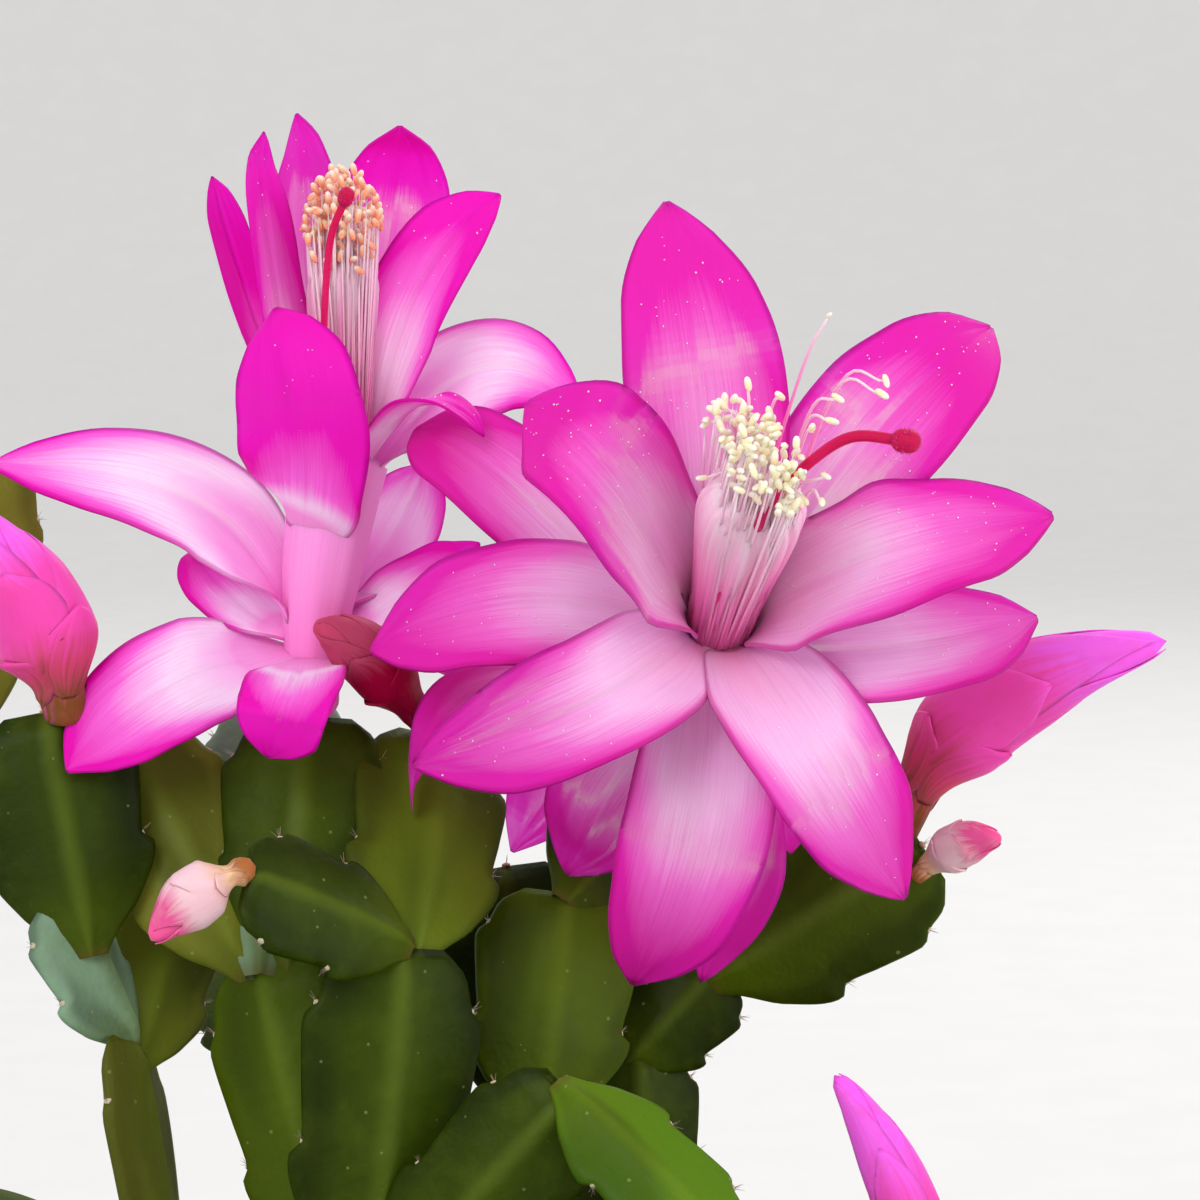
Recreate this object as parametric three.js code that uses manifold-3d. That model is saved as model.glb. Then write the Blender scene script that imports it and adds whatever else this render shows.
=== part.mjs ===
// A potted christmas cactus in bloom: a clay pot of soil, jointed flat green stems that stand in it and
// arch over its rim, open pink blooms and closed buds at their tips. Millimetres, +Z up, origin at the
// middle of the pot's flat underside, the front of the plant towards -Y.
import * as THREE from "three";
import { mergeVertices } from "three/addons/utils/BufferGeometryUtils.js";
import Module from "manifold-3d";

const wasm = await Module();
wasm.setup();

// ---- Driving dimensions -----------------------------------------------------------------------------------

const POT = {
  height: 98, base: 41, shoulder: 54, rim: 60, rimBand: 22, flare: 0.6, lip: 0.8, ease: 1.5,
  wall: 5, floor: 6, sides: 24,
};
const DRAIN = { radius: 5, ring: 20, count: 3, sides: 12 };
const SOIL = { top: 86, lump: 0.55, edgeDrop: 1.5, rings: [0.8, 0.45, 0] };
const GAP = 0.3; // clearance between two pieces that touch on the plant
// The round woody foot of a stem, sunk in the soil, and the sides of its hole.
const FOOT = { radius: 2.3, depth: 13, rise: 3.2, sides: 5, holeSides: 6 };

// Half thicknesses of a flat segment at its rib and margin, and how far its neck roots in the last one.
const SEGMENT = { rib: 1.5, margin: 0.5, neck: 1.6 };
const PETAL = { halfThickness: 0.42, columns: 2, rows: 4 };
const TUBE = { wall: 0.9, sides: 6, steps: 4 };
const STAMEN = { radius: 0.34, sides: 3, column: 1.7, columnSides: 6, columnEnd: 0.94 };
const STYLE = { radius: 0.5, stigma: 1.4, sides: 5, steps: 6 };
const BUD = { sides: 6, steps: 6 };

// The front view in which the picture's stems and blooms are laid out: its middle is at pixel MIDDLE and
// at the point `centre`, it looks down by `tilt`, and the eye is `distance` from the picture plane.
const MIDDLE = 600;
const VIEW = { centre: new THREE.Vector3(10, -16, 182), tilt: 5, distance: 420, mmPerPixel: 0.09 };

// ---- Places and small helpers -----------------------------------------------------------------------------

const UP = new THREE.Vector3(0, 0, 1);
const radians = THREE.MathUtils.degToRad;
const mix = THREE.MathUtils.lerp;
const vec = (x, y, z) => new THREE.Vector3(x, y, z);
const along = (a, b) => b.clone().sub(a).normalize();

const TOWARDS = vec(0, -Math.cos(radians(VIEW.tilt)), Math.sin(radians(VIEW.tilt)));
const UPWARDS = vec(0, Math.sin(radians(VIEW.tilt)), Math.cos(radians(VIEW.tilt)));

// The point seen at a pixel of the front view, `near` millimetres in front of the picture plane.
function seen([right, down, near]) {
  const scale = VIEW.mmPerPixel * (1 - near / VIEW.distance);
  return VIEW.centre
    .clone()
    .add(vec((right - MIDDLE) * scale, 0, 0))
    .addScaledVector(UPWARDS, (MIDDLE - down) * scale)
    .addScaledVector(TOWARDS, near);
}

// A repeatable random draw from 0 to 1.
function dice(seed) {
  let state = seed;
  return () => {
    state = (state * 16807) % 2147483647;
    return state / 2147483647;
  };
}

// The value at x on a curve of straight runs through [x, value] pairs.
function profile(pairs, x) {
  const next = pairs.findIndex(([at]) => at >= x);
  if (next <= 0) return pairs[next === 0 ? 0 : pairs.length - 1][1];
  const [[x0, v0], [x1, v1]] = [pairs[next - 1], pairs[next]];
  return mix(v0, v1, (x - x0) / (x1 - x0));
}

// The bend from a to c that passes b half way.
function bendThrough(a, b, c) {
  const control = b.clone().multiplyScalar(2).addScaledVector(a, -0.5).addScaledVector(c, -0.5);
  return new THREE.QuadraticBezierCurve3(a, control, c);
}

// The part of `vector` that is square to the unit vector `axis`, at length 1.
const squareTo = (axis, vector) => vector.clone().addScaledVector(axis, -vector.dot(axis)).normalize();

// ---- Solids -----------------------------------------------------------------------------------------------

function solidOf(geometry) {
  const bare = geometry.clone();
  bare.deleteAttribute("normal");
  bare.deleteAttribute("uv");
  const merged = mergeVertices(bare, 1e-4);
  return new wasm.Manifold(
    new wasm.Mesh({
      numProp: 3,
      vertProperties: new Float32Array(merged.attributes.position.array),
      triVerts: new Uint32Array(merged.index.array),
    }),
  );
}

function geometryOf(solid) {
  const mesh = solid.getMesh();
  return new THREE.BufferGeometry()
    .setAttribute("position", new THREE.BufferAttribute(new Float32Array(mesh.vertProperties), 3))
    .setIndex(new THREE.BufferAttribute(new Uint32Array(mesh.triVerts), 1));
}

const fuse = (solids) => solids.reduce((whole, next) => whole.add(next));

// The largest body of a solid: a crumb that a cut leaves loose is dropped.
function mainBody(solid) {
  return solid.decompose().reduce((best, body) => (body.volume() > best.volume() ? body : best));
}

// A thin closed blade: a grid laid on surface(s, t), s from -1 to 1 across and t from 0 to 1 along, given
// halfThickness(s, t) to each side. Both faces are split into the same triangles.
function blade(surface, halfThickness, columns, rows) {
  const grid = new THREE.PlaneGeometry(2, 1, columns, rows);
  const at = grid.attributes.position;
  const count = at.count;
  const halves = [];
  for (let i = 0; i < count; i++) {
    const s = at.getX(i);
    const t = at.getY(i) + 0.5;
    halves.push(halfThickness(s, t));
    at.setXYZ(i, ...surface(s, t).toArray());
  }
  grid.computeVertexNormals();
  const normals = grid.attributes.normal;
  const points = [];
  for (const side of [1, -1])
    for (let i = 0; i < count; i++) {
      const out = vec().fromBufferAttribute(normals, i).multiplyScalar(side * halves[i]);
      points.push(...vec().fromBufferAttribute(at, i).add(out).toArray());
    }
  const front = Array.from(grid.index.array);
  const index = [...front];
  for (let i = 0; i < front.length; i += 3)
    index.push(front[i] + count, front[i + 2] + count, front[i + 1] + count);
  const wide = columns + 1;
  const rim = [];
  for (let i = 0; i < columns; i++) rim.push(i);
  for (let j = 0; j < rows; j++) rim.push(j * wide + columns);
  for (let i = columns; i > 0; i--) rim.push(rows * wide + i);
  for (let j = rows; j > 0; j--) rim.push(j * wide);
  rim.forEach((a, k) => {
    const b = rim[(k + 1) % rim.length];
    index.push(a, b, a + count, b, b + count, a + count);
  });
  return new THREE.BufferGeometry()
    .setAttribute("position", new THREE.BufferAttribute(new Float32Array(points), 3))
    .setIndex(index);
}

// A round body along a curve, its radius following radiusAt(t).
function sweep(curve, radiusAt, sides, steps) {
  const body = new THREE.CylinderGeometry(1, 1, 1, sides, steps);
  const frames = curve.computeFrenetFrames(steps);
  const at = body.attributes.position;
  for (let i = 0; i < at.count; i++) {
    const step = Math.round((at.getY(i) + 0.5) * steps);
    const t = step / steps;
    const point = curve.getPoint(t);
    point.addScaledVector(frames.normals[step], at.getX(i) * radiusAt(t));
    point.addScaledVector(frames.binormals[step], -at.getZ(i) * radiusAt(t));
    at.setXYZ(i, ...point.toArray());
  }
  return solidOf(body);
}

// Cuts off what lies below a stem's flat end, and leaves a small gap above it.
function standOn(solid, { tip, axis }) {
  const size = 40; // more than anything that stands on a stem reaches below its end
  const block = new THREE.BoxGeometry(size, size, size);
  block.applyQuaternion(new THREE.Quaternion().setFromUnitVectors(UP, axis));
  const middle = tip.clone().addScaledVector(axis, 1.5 * GAP - size / 2);
  block.translate(middle.x, middle.y, middle.z);
  return mainBody(solid.subtract(solidOf(block)));
}

// ---- Stems ------------------------------------------------------------------------------------------------

// Half the width of a segment along its length: a narrow neck, two toothed lobes and a cut-off end.
const MARGIN = [
  [0, 0.2], [0.16, 0.56], [0.4, 1], [0.52, 0.84], [0.79, 1], [1, 0.48],
];

// One flat segment from base to tip. Its broad face turns by `turn` degrees from facing `face`; `fold`
// bends its two wings back from the rib, and `bow` lifts its middle off the straight line.
function segment({ base, tip, width, face = TOWARDS, turn = 0, fold = 0.12, bow = 0.03 }) {
  const axis = along(base, tip);
  const normal = squareTo(axis, face).applyAxisAngle(axis, radians(turn));
  const side = vec().crossVectors(axis, normal);
  const root = base.clone().addScaledVector(axis, -SEGMENT.neck);
  const length = root.distanceTo(tip);
  const rows = MARGIN.length - 1;
  const surface = (s, t) => {
    const [at, half] = MARGIN[Math.round(t * rows)];
    const wing = (half * width) / 2;
    return root
      .clone()
      .addScaledVector(axis, at * length)
      .addScaledVector(side, s * wing)
      .addScaledVector(normal, bow * length * Math.sin(Math.PI * at) - fold * Math.abs(s) * wing);
  };
  const halfThickness = (s) => mix(SEGMENT.rib, SEGMENT.margin, Math.abs(s));
  return solidOf(blade(surface, halfThickness, 2, rows));
}

// Where a stem leaves the soil.
const soilAt = (x, y) => vec(x, y, SOIL.top + FOOT.rise);

// A whole stem, grown as one piece: its woody foot in the soil and all its segments.
function stem(segments) {
  const top = segments[0].base.clone().addScaledVector(UP, SEGMENT.neck);
  const buried = top.clone().setZ(SOIL.top - FOOT.depth);
  const foot = sweep(new THREE.LineCurve3(buried, top), () => FOOT.radius, FOOT.sides, 1);
  return fuse([foot, ...segments.map(segment)]);
}

// The stems that the picture shows, each down to its foot in the soil. A row is a segment: its base and
// tip in the front view, its width in mm, its turn and its fold; the first row stands on the foot.
const PICTURE_STEMS = {
  stem_front: {
    foot: [-10, -18],
    rows: [
      [null, [358, 1290, -6], 19, 6],
      [[350, 1290, -7], [262, 962, -8], 15, -18],
      [[364, 1290, -5], [402, 948, -3], 17, 18],
      [[246, 962, -9], [128, 742, -16], 14.5, 8],
      [[290, 955, -8], [310, 716, -14], 16, -6],
      [[415, 945, -5], [438, 736, -17], 15.5, 22],
      [[396, 942, -2.5], [245, 876, 5], 12, 35],
      [[388, 1290, -3], [572, 1094, 2], 13.5, -8],
      [[570, 1094, 2], [722, 1245, 9], 11, -30],
      [[262, 962, -8], [284, 692, -25], 14.5, 0],
    ],
  },
  stem_left: {
    foot: [-25, -10],
    rows: [
      [null, [168, 1370, -13], 16, -14],
      [[168, 1370, -13], [126, 1030, -11], 13, 72],
      [[126, 1030, -11], [62, 896, -9], 12, 58, 0.3],
      [[88, 940, -8], [44, 712, -9], 15.5, 8],
      [[134, 1060, -13], [178, 880, -22], 12, 20],
    ],
  },
  stem_middle: {
    foot: [6, -6],
    rows: [
      [null, [546, 1370, -14], 17, 8],
      [[546, 1370, -14], [538, 1115, -15], 15, -4],
      [[538, 1115, -15], [566, 893, -18], 16, 12],
      [[572, 893, -18], [654, 790, -27], 13, 10],
      [[538, 1115, -15], [506, 866, -24], 15.5, -14],
    ],
  },
  stem_right: {
    foot: [24, -12],
    rows: [
      [null, [705, 1420, -24], 16, 12],
      [[705, 1420, -24], [650, 1230, -26], 14, -12],
      [[650, 1230, -26], [636, 1052, -25], 12, 14],
      [[636, 1052, -25], [716, 966, -25], 11.5, 0],
      [[722, 972, -24], [922, 845, -20], 16.5, 0],
    ],
  },
  stem_right_low: {
    foot: [33, -22],
    rows: [
      [null, [985, 1455, 8], 16, 10],
    ],
  },
  stem_left_back: {
    foot: [-34, 9],
    rows: [
      [null, [-45, 1350, -30], 15, -10],
      [[-45, 1350, -30], [-98, 1060, -28], 13, 6],
      [[-98, 1060, -28], [-66, 765, -27], 15, -8],
      [[-66, 765, -27], [-14, 456, -27], 13.5, 10],
    ],
  },
};

function pictured({ foot, rows }) {
  return rows.map(([base, tip, width, turn, fold]) => ({
    base: base ? seen(base) : soilAt(...foot), tip: seen(tip), width, turn, fold,
  }));
}

// A stem laid out by rule: it leaves the soil at the steep pitch `rise`, each segment leans further out
// until the last has the pitch `droop`, and side segments grow from the tips that `branch` numbers.
function archingStem({ foot, azimuth, rise, droop, lengths, width, seed, branch }) {
  const random = dice(seed);
  const rows = [];
  const heading = (turned, pitch) =>
    vec(Math.cos(radians(turned)), Math.sin(radians(turned)), 0)
      .multiplyScalar(Math.cos(radians(pitch)))
      .addScaledVector(UP, Math.sin(radians(pitch)));
  let base = soilAt(...foot);
  let turned = azimuth;
  lengths.forEach((length, i) => {
    const pitch = mix(rise, droop, i / (lengths.length - 1));
    const face = heading(turned + 180, 90 - pitch);
    const tip = base.clone().addScaledVector(heading(turned, pitch), length);
    rows.push({ base, tip, face, width: width * mix(0.92, 1.05, random()), turn: mix(-18, 18, random()) });
    if (branch.includes(i)) {
      const swing = turned + (random() < 0.5 ? -1 : 1) * mix(40, 52, random());
      const end = tip.clone().addScaledVector(heading(swing, pitch - 8), length * 0.85);
      rows.push({ base: tip, tip: end, face, width: width * 0.88, turn: mix(-20, 20, random()) });
    }
    base = tip;
    turned += mix(-9, 9, random());
  });
  return rows;
}

const RULED_STEMS = {
  stem_right_side: {
    foot: [40, 4], azimuth: 4, rise: 62, droop: -44, lengths: [23, 24, 23, 20], width: 16, seed: 11,
    branch: [1],
  },
  stem_right_back: {
    foot: [29, 27], azimuth: 34, rise: 46, droop: -46, lengths: [23, 25, 24], width: 16, seed: 23,
    branch: [1],
  },
  stem_back: {
    foot: [8, 14], azimuth: 78, rise: 88, droop: 48, lengths: [23, 24, 22], width: 17, seed: 37,
    branch: [1],
  },
  stem_back_left: {
    foot: [-14, 20], azimuth: 112, rise: 86, droop: 20, lengths: [24, 23, 22], width: 16, seed: 47,
    branch: [1],
  },
  stem_low_back: {
    foot: [0, 40], azimuth: 92, rise: 50, droop: -48, lengths: [21, 23, 21], width: 16, seed: 29,
    branch: [0],
  },
  stem_left_low: {
    foot: [-30, 30], azimuth: 140, rise: 60, droop: -42, lengths: [24, 25, 23], width: 16, seed: 41,
    branch: [1],
  },
  stem_left_side: {
    foot: [-42, -10], azimuth: 188, rise: 60, droop: -44, lengths: [23, 24, 22, 20], width: 16, seed: 53,
    branch: [1],
  },
  stem_front_left: {
    foot: [-25, -36], azimuth: 238, rise: 58, droop: -48, lengths: [23, 24, 22], width: 16, seed: 61,
    branch: [0],
  },
  stem_front_right: {
    foot: [11, -41], azimuth: 288, rise: 56, droop: -50, lengths: [23, 24, 22], width: 16, seed: 73,
    branch: [0],
  },
};

// ---- Blooms -----------------------------------------------------------------------------------------------

// How wide a petal is along its length: narrow at its root, widest past the middle, then a point.
const PETAL_WIDTH = [
  [0, 0.36], [0.25, 0.9], [0.5, 1], [0.75, 0.86], [1, 0.08],
];

// How thick the ovary and petal tube are from the stem's tip to the bloom's mouth, in mm.
const TUBE_RADIUS = [
  [0, 1.5], [0.1, 2.5], [0.2, 2.5], [0.6, 3.6], [1, 4.5],
];
const tubeRadius = (t) => profile(TUBE_RADIUS, t);

// One petal, from the tube's wall at `from` along the tube, through its bend, to its tip. It lies square
// to the plane that holds its bend and the tube, then turns by `turn` degrees; `cup` lifts its edges.
function petal({ from, bend, tip, width, turn = 0, cup = 0.12 }, tube) {
  const axis = tube.getTangent(from);
  const radial = squareTo(axis, tip.clone().sub(tube.getPoint(from)));
  const root = tube.getPoint(from).addScaledVector(radial, tubeRadius(from) - TUBE.wall / 2);
  const line = bendThrough(root, bend, tip);
  const across = vec().crossVectors(radial, axis);
  const surface = (s, t) => {
    const tangent = line.getTangent(t);
    const twist = radians(turn * Math.min(1, 0.3 + 2 * t));
    const side = squareTo(tangent, across).applyAxisAngle(tangent, twist);
    const half = (profile(PETAL_WIDTH, t) * width) / 2;
    return line
      .getPoint(t)
      .addScaledVector(side, s * half)
      .addScaledVector(vec().crossVectors(side, tangent), cup * half * (s * s - 0.4));
  };
  return solidOf(blade(surface, () => PETAL.halfThickness, PETAL.columns, PETAL.rows));
}

// How thick a stamen's thread is from the column to its anther, the swollen end.
const THREAD = [1, 1, 2.2];

// A bloom's three bodies: the ovary, tube and petals; the stamens on a hollow column in the tube; and the
// style through the column, with its stigma. `style` is its path outside the tube.
function flower({ base, lean, mouth, opening = 0.55, petals, anthers, style, stand }) {
  const tube = bendThrough(base, lean, mouth);
  const axis = tube.getTangent(1);
  const floor = tube.getPoint(opening);
  const beyond = mouth.clone().addScaledVector(axis, 1.5);
  const bore = new THREE.CatmullRomCurve3([floor, tube.getPoint((1 + opening) / 2), mouth, beyond]);
  const boreRadius = (t) => tubeRadius(mix(opening, 1, t)) - TUBE.wall;
  const outer = standOn(sweep(tube, tubeRadius, TUBE.sides, TUBE.steps), stand);
  const body = fuse([outer, ...petals.map((one) => petal(one, tube))]);

  const columnStart = floor.clone().addScaledVector(along(floor, mouth), GAP);
  const columnEnd = tube.getPoint(STAMEN.columnEnd);
  const column = new THREE.LineCurve3(columnStart, columnEnd);
  const core = sweep(column, () => STAMEN.column, STAMEN.columnSides, 1);
  const threads = anthers.map((end) => {
    const spoke = squareTo(axis, end.clone().sub(columnEnd)).multiplyScalar(STAMEN.column - STAMEN.radius);
    const root = columnEnd.clone().add(spoke).addScaledVector(axis, -1);
    const half = root.clone().lerp(end, 0.5).add(spoke.multiplyScalar(0.6));
    const line = bendThrough(root, half, end);
    const steps = THREAD.length - 1;
    return sweep(line, (t) => STAMEN.radius * THREAD[Math.round(t * steps)], STAMEN.sides, steps);
  });
  const path = new THREE.CatmullRomCurve3([columnStart, columnEnd, ...style]);
  const around = () => STYLE.radius + GAP;
  const below = new THREE.LineCurve3(columnStart.clone().addScaledVector(axis, -2), column.getPoint(0.1));
  const room = sweep(path, around, STYLE.sides, STYLE.steps).add(sweep(below, around, STYLE.sides, 1));
  const stigma = new THREE.OctahedronGeometry(STYLE.stigma);
  stigma.translate(...style[style.length - 1].toArray());
  return {
    petals: mainBody(body.subtract(sweep(bore, boreRadius, TUBE.sides, 2))),
    stamens: mainBody(fuse([core, ...threads]).subtract(room)),
    style: sweep(path, () => STYLE.radius, STYLE.sides, STYLE.steps).add(solidOf(stigma)),
  };
}

// The petals of the picture's blooms: [from, bend, tip, width, turn, cup].
const FRONT_PETALS = [
  [0.96, [705, 395, 9], [666, 208, 4], 14.6],
  [0.94, [874, 430, 10], [993, 324, 2], 13.6],
  [0.96, [880, 550, 12], [1046, 518, 4], 12.2],
  [0.86, [880, 645, 4], [1040, 616, -5], 11.2],
  [0.96, [818, 752, 9], [900, 890, -2], 12.6],
  [0.88, [695, 835, 4], [632, 985, -7], 13.2],
  [0.96, [590, 700, 10], [420, 762, 0], 12],
  [0.9, [530, 602, 7], [368, 648, -3], 12.6],
  [0.96, [622, 480, 18], [533, 408, 14], 14.6],
  [0.72, [520, 490, -5], [413, 426, -12], 11.5],
  [0.6, [612, 790, -9], [572, 866, -14], 11.5],
  [0.6, [480, 690, -7], [408, 810, -9], 8.5, 28],
  [0.66, [746, 850, -9], [702, 972, -15], 10.5],
  [0.5, [778, 780, -15], [794, 852, -17], 7],
];
const SIDE_PETALS = [
  [0.42, [190, 496, -14], [-8, 468, -14], 10.2, -66],
  [0.36, [226, 590, -18], [194, 548, -21], 7, -40],
  [0.3, [172, 684, -7], [70, 772, -5], 12, -62],
  [0.28, [288, 698, -6], [266, 757, -6], 9.6],
  [0.4, [415, 585, -16], [480, 548, -18], 7, 50],
  [0.5, [394, 530, -22], [424, 462, -25], 8, 40],
  [0.72, [300, 425, -5], [272, 304, -7], 12.6, 34],
  [0.95, [420, 398, -6], [486, 432, -4], 5, 12],
  [0.9, [475, 370, -16], [576, 404, -18], 9.6, 66],
  [0.94, [412, 292, -13], [500, 192, -15], 9.4, 52],
  [0.95, [385, 265, -24], [400, 122, -22], 10.2],
  [0.95, [310, 270, -24], [299, 114, -23], 10.4, 20],
  [0.94, [277, 275, -14], [257, 134, -16], 8, -20],
  [0.9, [246, 285, -21], [214, 176, -22], 5.5, -20],
];
const petalsSeen = (rows) =>
  rows.map(([from, bend, tip, width, turn, cup]) =>
    ({ from, bend: seen(bend), tip: seen(tip), width, turn, cup }));

// Anthers strewn in a flat round cloud of the front view.
function cloud([right, down, near], [acrossRadius, downRadius, depth], count, seed) {
  const random = dice(seed);
  return Array.from({ length: count }, () => {
    const angle = 2 * Math.PI * random();
    const out = Math.sqrt(random());
    return seen([
      right + acrossRadius * out * Math.cos(angle),
      down + downRadius * out * Math.sin(angle),
      near + depth * (2 * random() - 1),
    ]);
  });
}

const LONG_ANTHERS = [[831, 316, 22], [888, 385, 29], [842, 400, 28], [826, 470, 28]];
const PICTURE_BLOOMS = {
  bloom_front: {
    at: ["stem_middle", 3], base: [648, 800, -27], lean: [690, 715, -20], mouth: [722, 612, -4],
    petals: FRONT_PETALS,
    anthers: [...cloud([762, 455, 25], [58, 56, 4], 8, 5), ...LONG_ANTHERS.map(seen)],
    style: [[748, 545, 9], [806, 468, 24], [850, 438, 30], [910, 441, 32]],
  },
  bloom_side: {
    at: ["stem_front", 4], base: [312, 722, -13.5], lean: [318, 600, -14], mouth: [344, 440, -14],
    petals: SIDE_PETALS,
    anthers: cloud([347, 224, -13], [26, 56, 4], 9, 9),
    style: [[326, 360, -10], [329, 250, -6], [348, 194, -5]],
  },
};

// The anthers of a bloom laid out by rule: how many, how far off its middle line and how far out of its
// mouth.
const RULED_ANTHERS = { count: 7, spread: 5, near: 19, far: 25 };

// A bloom laid out by rule on a stem's tip: inner petals open round its mouth, outer ones bend back
// below.
function ruledBloom({ tip, axis }, { towards, size, seed }) {
  const random = dice(seed);
  const lean = tip.clone().addScaledVector(axis, 9 * size);
  const facing = vec(...towards).normalize();
  const mouth = lean.clone().addScaledVector(facing, 11 * size);
  const tube = bendThrough(tip, lean, mouth);
  const turnedOut = (angle) => squareTo(facing, UP).applyAxisAngle(facing, angle);
  const reaches = (from, count, start, [bendOut, bendUp], [tipOut, tipUp], width) =>
    Array.from({ length: count }, (_, i) => {
      const centre = tube.getPoint(from);
      const radial = turnedOut(start + (2 * Math.PI * (i + mix(-0.08, 0.08, random()))) / count);
      const place = (out, up) =>
        centre.clone().addScaledVector(radial, out * size).addScaledVector(facing, up * size);
      const long = mix(0.93, 1.06, random());
      return { from, bend: place(bendOut, bendUp), tip: place(tipOut * long, tipUp), width: width * size };
    });
  const { count, spread, near, far } = RULED_ANTHERS;
  return {
    base: tip.clone().addScaledVector(axis, -1), lean, mouth,
    petals: [
      ...reaches(0.95, 5, 0, [13, 8], [27, 3], 12.5),
      ...reaches(0.6, 3, 0.6, [13, 1], [23, -6], 11),
    ],
    anthers: Array.from({ length: count }, () => {
      const side = turnedOut(2 * Math.PI * random()).multiplyScalar(spread * Math.sqrt(random()));
      return mouth.clone().addScaledVector(facing, mix(near, far, random()) * size).add(side);
    }),
    style: [[12, 0], [24, 1.5], [31, 3]].map(([out, up]) =>
      mouth.clone().addScaledVector(facing, out * size).addScaledVector(UP, up)),
  };
}

const RULED_BLOOMS = {
  bloom_back: { at: ["stem_back", 3], towards: [0.15, 0.8, 0.55], size: 0.94, seed: 17 },
  bloom_low: { at: ["stem_right_back", 3], towards: [0.75, 0.4, -0.25], size: 0.9, seed: 31 },
};

// ---- Buds -------------------------------------------------------------------------------------------------

const BUD_RADIUS = [
  [0, 0.36], [0.1, 0.46], [0.2, 0.5], [0.42, 1], [0.62, 0.9], [0.82, 0.5], [1, 0.1],
];

// The picture's buds: the stem's segment that each stands on, its base, bend and tip, and its radius in
// mm.
const PICTURE_BUDS = {
  bud_right: [["stem_right", 4], [897, 844, -20], [984, 712, -17], [1167, 641, -13], 4.7],
  bud_right_small: [["stem_right", 4], [913, 880, -19], [962, 843, -16], [1001, 840, -13], 2.2],
  bud_left_small: [["stem_front", 6], [256, 866, 5], [198, 894, 6], [151, 941, 7], 2.8],
  bud_left: [["stem_left", 3], [64, 728, -9], [40, 622, -8], [-40, 505, -8], 4.9],
  bud_dark: [["stem_front", 5], [437, 742, -17], [374, 662, -11], [314, 626, -6.5], 3.1],
  bud_right_low: [["stem_right_low", 0], [988, 1468, 8], [915, 1225, 8], [834, 1075, 6], 3],
};
const RULED_BUDS = {
  bud_side: { at: ["stem_left_low", 3], length: 22, radius: 3.6 },
  bud_back: { at: ["stem_low_back", 3], length: 17, radius: 2.9 },
};

function bud({ base, bend, tip, radius }, stand) {
  const thickness = (t) => profile(BUD_RADIUS, t) * radius;
  const body = sweep(bendThrough(base, bend, tip), thickness, BUD.sides, BUD.steps);
  return standOn(body, stand);
}

// ---- Pot and soil -----------------------------------------------------------------------------------------

function pot() {
  const { height, base, shoulder, rim, rimBand, flare, lip, ease, wall, floor, sides } = POT;
  const low = height - rimBand;
  const outline = [
    [0, 0], [base - ease, 0], [base, ease], [shoulder, low], [rim - ease, low], [rim, low + ease],
    [rim + flare, height - ease], [rim - lip, height], [rim - wall, height],
    [base - wall, floor], [0, floor],
  ];
  const wallShape = new THREE.LatheGeometry(outline.map(([r, z]) => new THREE.Vector2(r, z)), sides);
  let body = solidOf(wallShape.rotateX(Math.PI / 2));
  for (let i = 0; i < DRAIN.count; i++) {
    const hole = new THREE.CylinderGeometry(DRAIN.radius, DRAIN.radius, 3 * floor, DRAIN.sides);
    const angle = (2 * Math.PI * (i + 0.5)) / DRAIN.count;
    hole.rotateX(Math.PI / 2);
    hole.translate(DRAIN.ring * Math.cos(angle), DRAIN.ring * Math.sin(angle), floor / 2);
    body = body.subtract(solidOf(hole));
  }
  return body;
}

// The inside radius of the pot at height z.
const potInside = (z) =>
  mix(POT.base, POT.rim, (z - POT.floor) / (POT.height - POT.floor)) - POT.wall;

function soil(feet) {
  const bottom = POT.floor + GAP;
  const edge = SOIL.top - SOIL.edgeDrop;
  const outline = [
    [0, bottom], [potInside(bottom) - GAP, bottom], [potInside(edge) - GAP, edge],
    ...SOIL.rings.map((ring) => [ring * potInside(edge), SOIL.top]),
  ];
  const body = new THREE.LatheGeometry(outline.map(([r, z]) => new THREE.Vector2(r, z)), POT.sides);
  const at = body.rotateX(Math.PI / 2).attributes.position;
  for (let i = 0; i < at.count; i++) {
    const [x, y, z] = [at.getX(i), at.getY(i), at.getZ(i)];
    const lump = Math.sin(0.31 * x + 1.3) * Math.sin(0.27 * y) + Math.sin(0.16 * (x + y));
    if (z > edge + 0.1) at.setZ(i, z + SOIL.lump * lump);
  }
  const radius = (FOOT.radius + GAP) / Math.cos(Math.PI / FOOT.holeSides);
  return feet.reduce((whole, foot) => {
    const hole = new THREE.CylinderGeometry(radius, radius, 2 * FOOT.depth, FOOT.holeSides);
    hole.rotateX(Math.PI / 2).translate(foot.x, foot.y, SOIL.top - GAP);
    return whole.subtract(solidOf(hole));
  }, solidOf(body));
}

// ---- The whole plant --------------------------------------------------------------------------------------

const FINISH = {
  clay: { color: 0xb5673f, roughness: 0.85, metalness: 0 },
  soil: { color: 0x3a281d, roughness: 1, metalness: 0 },
  green: { color: 0x4d6a1e, roughness: 0.45, metalness: 0 },
  pink: { color: 0xe33bb4, roughness: 0.5, metalness: 0 },
  cream: { color: 0xf3e2a0, roughness: 0.7, metalness: 0 },
  red: { color: 0xb80f3c, roughness: 0.5, metalness: 0 },
  rose: { color: 0xe56a9e, roughness: 0.5, metalness: 0 },
};

const plant = new THREE.Group();

function add(name, solid, finish) {
  const mesh = new THREE.Mesh(geometryOf(solid), new THREE.MeshStandardMaterial(FINISH[finish]));
  mesh.name = name;
  plant.add(mesh);
}

const stems = {};
for (const [name, shape] of Object.entries(PICTURE_STEMS)) stems[name] = pictured(shape);
for (const [name, rule] of Object.entries(RULED_STEMS)) stems[name] = archingStem(rule);

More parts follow.
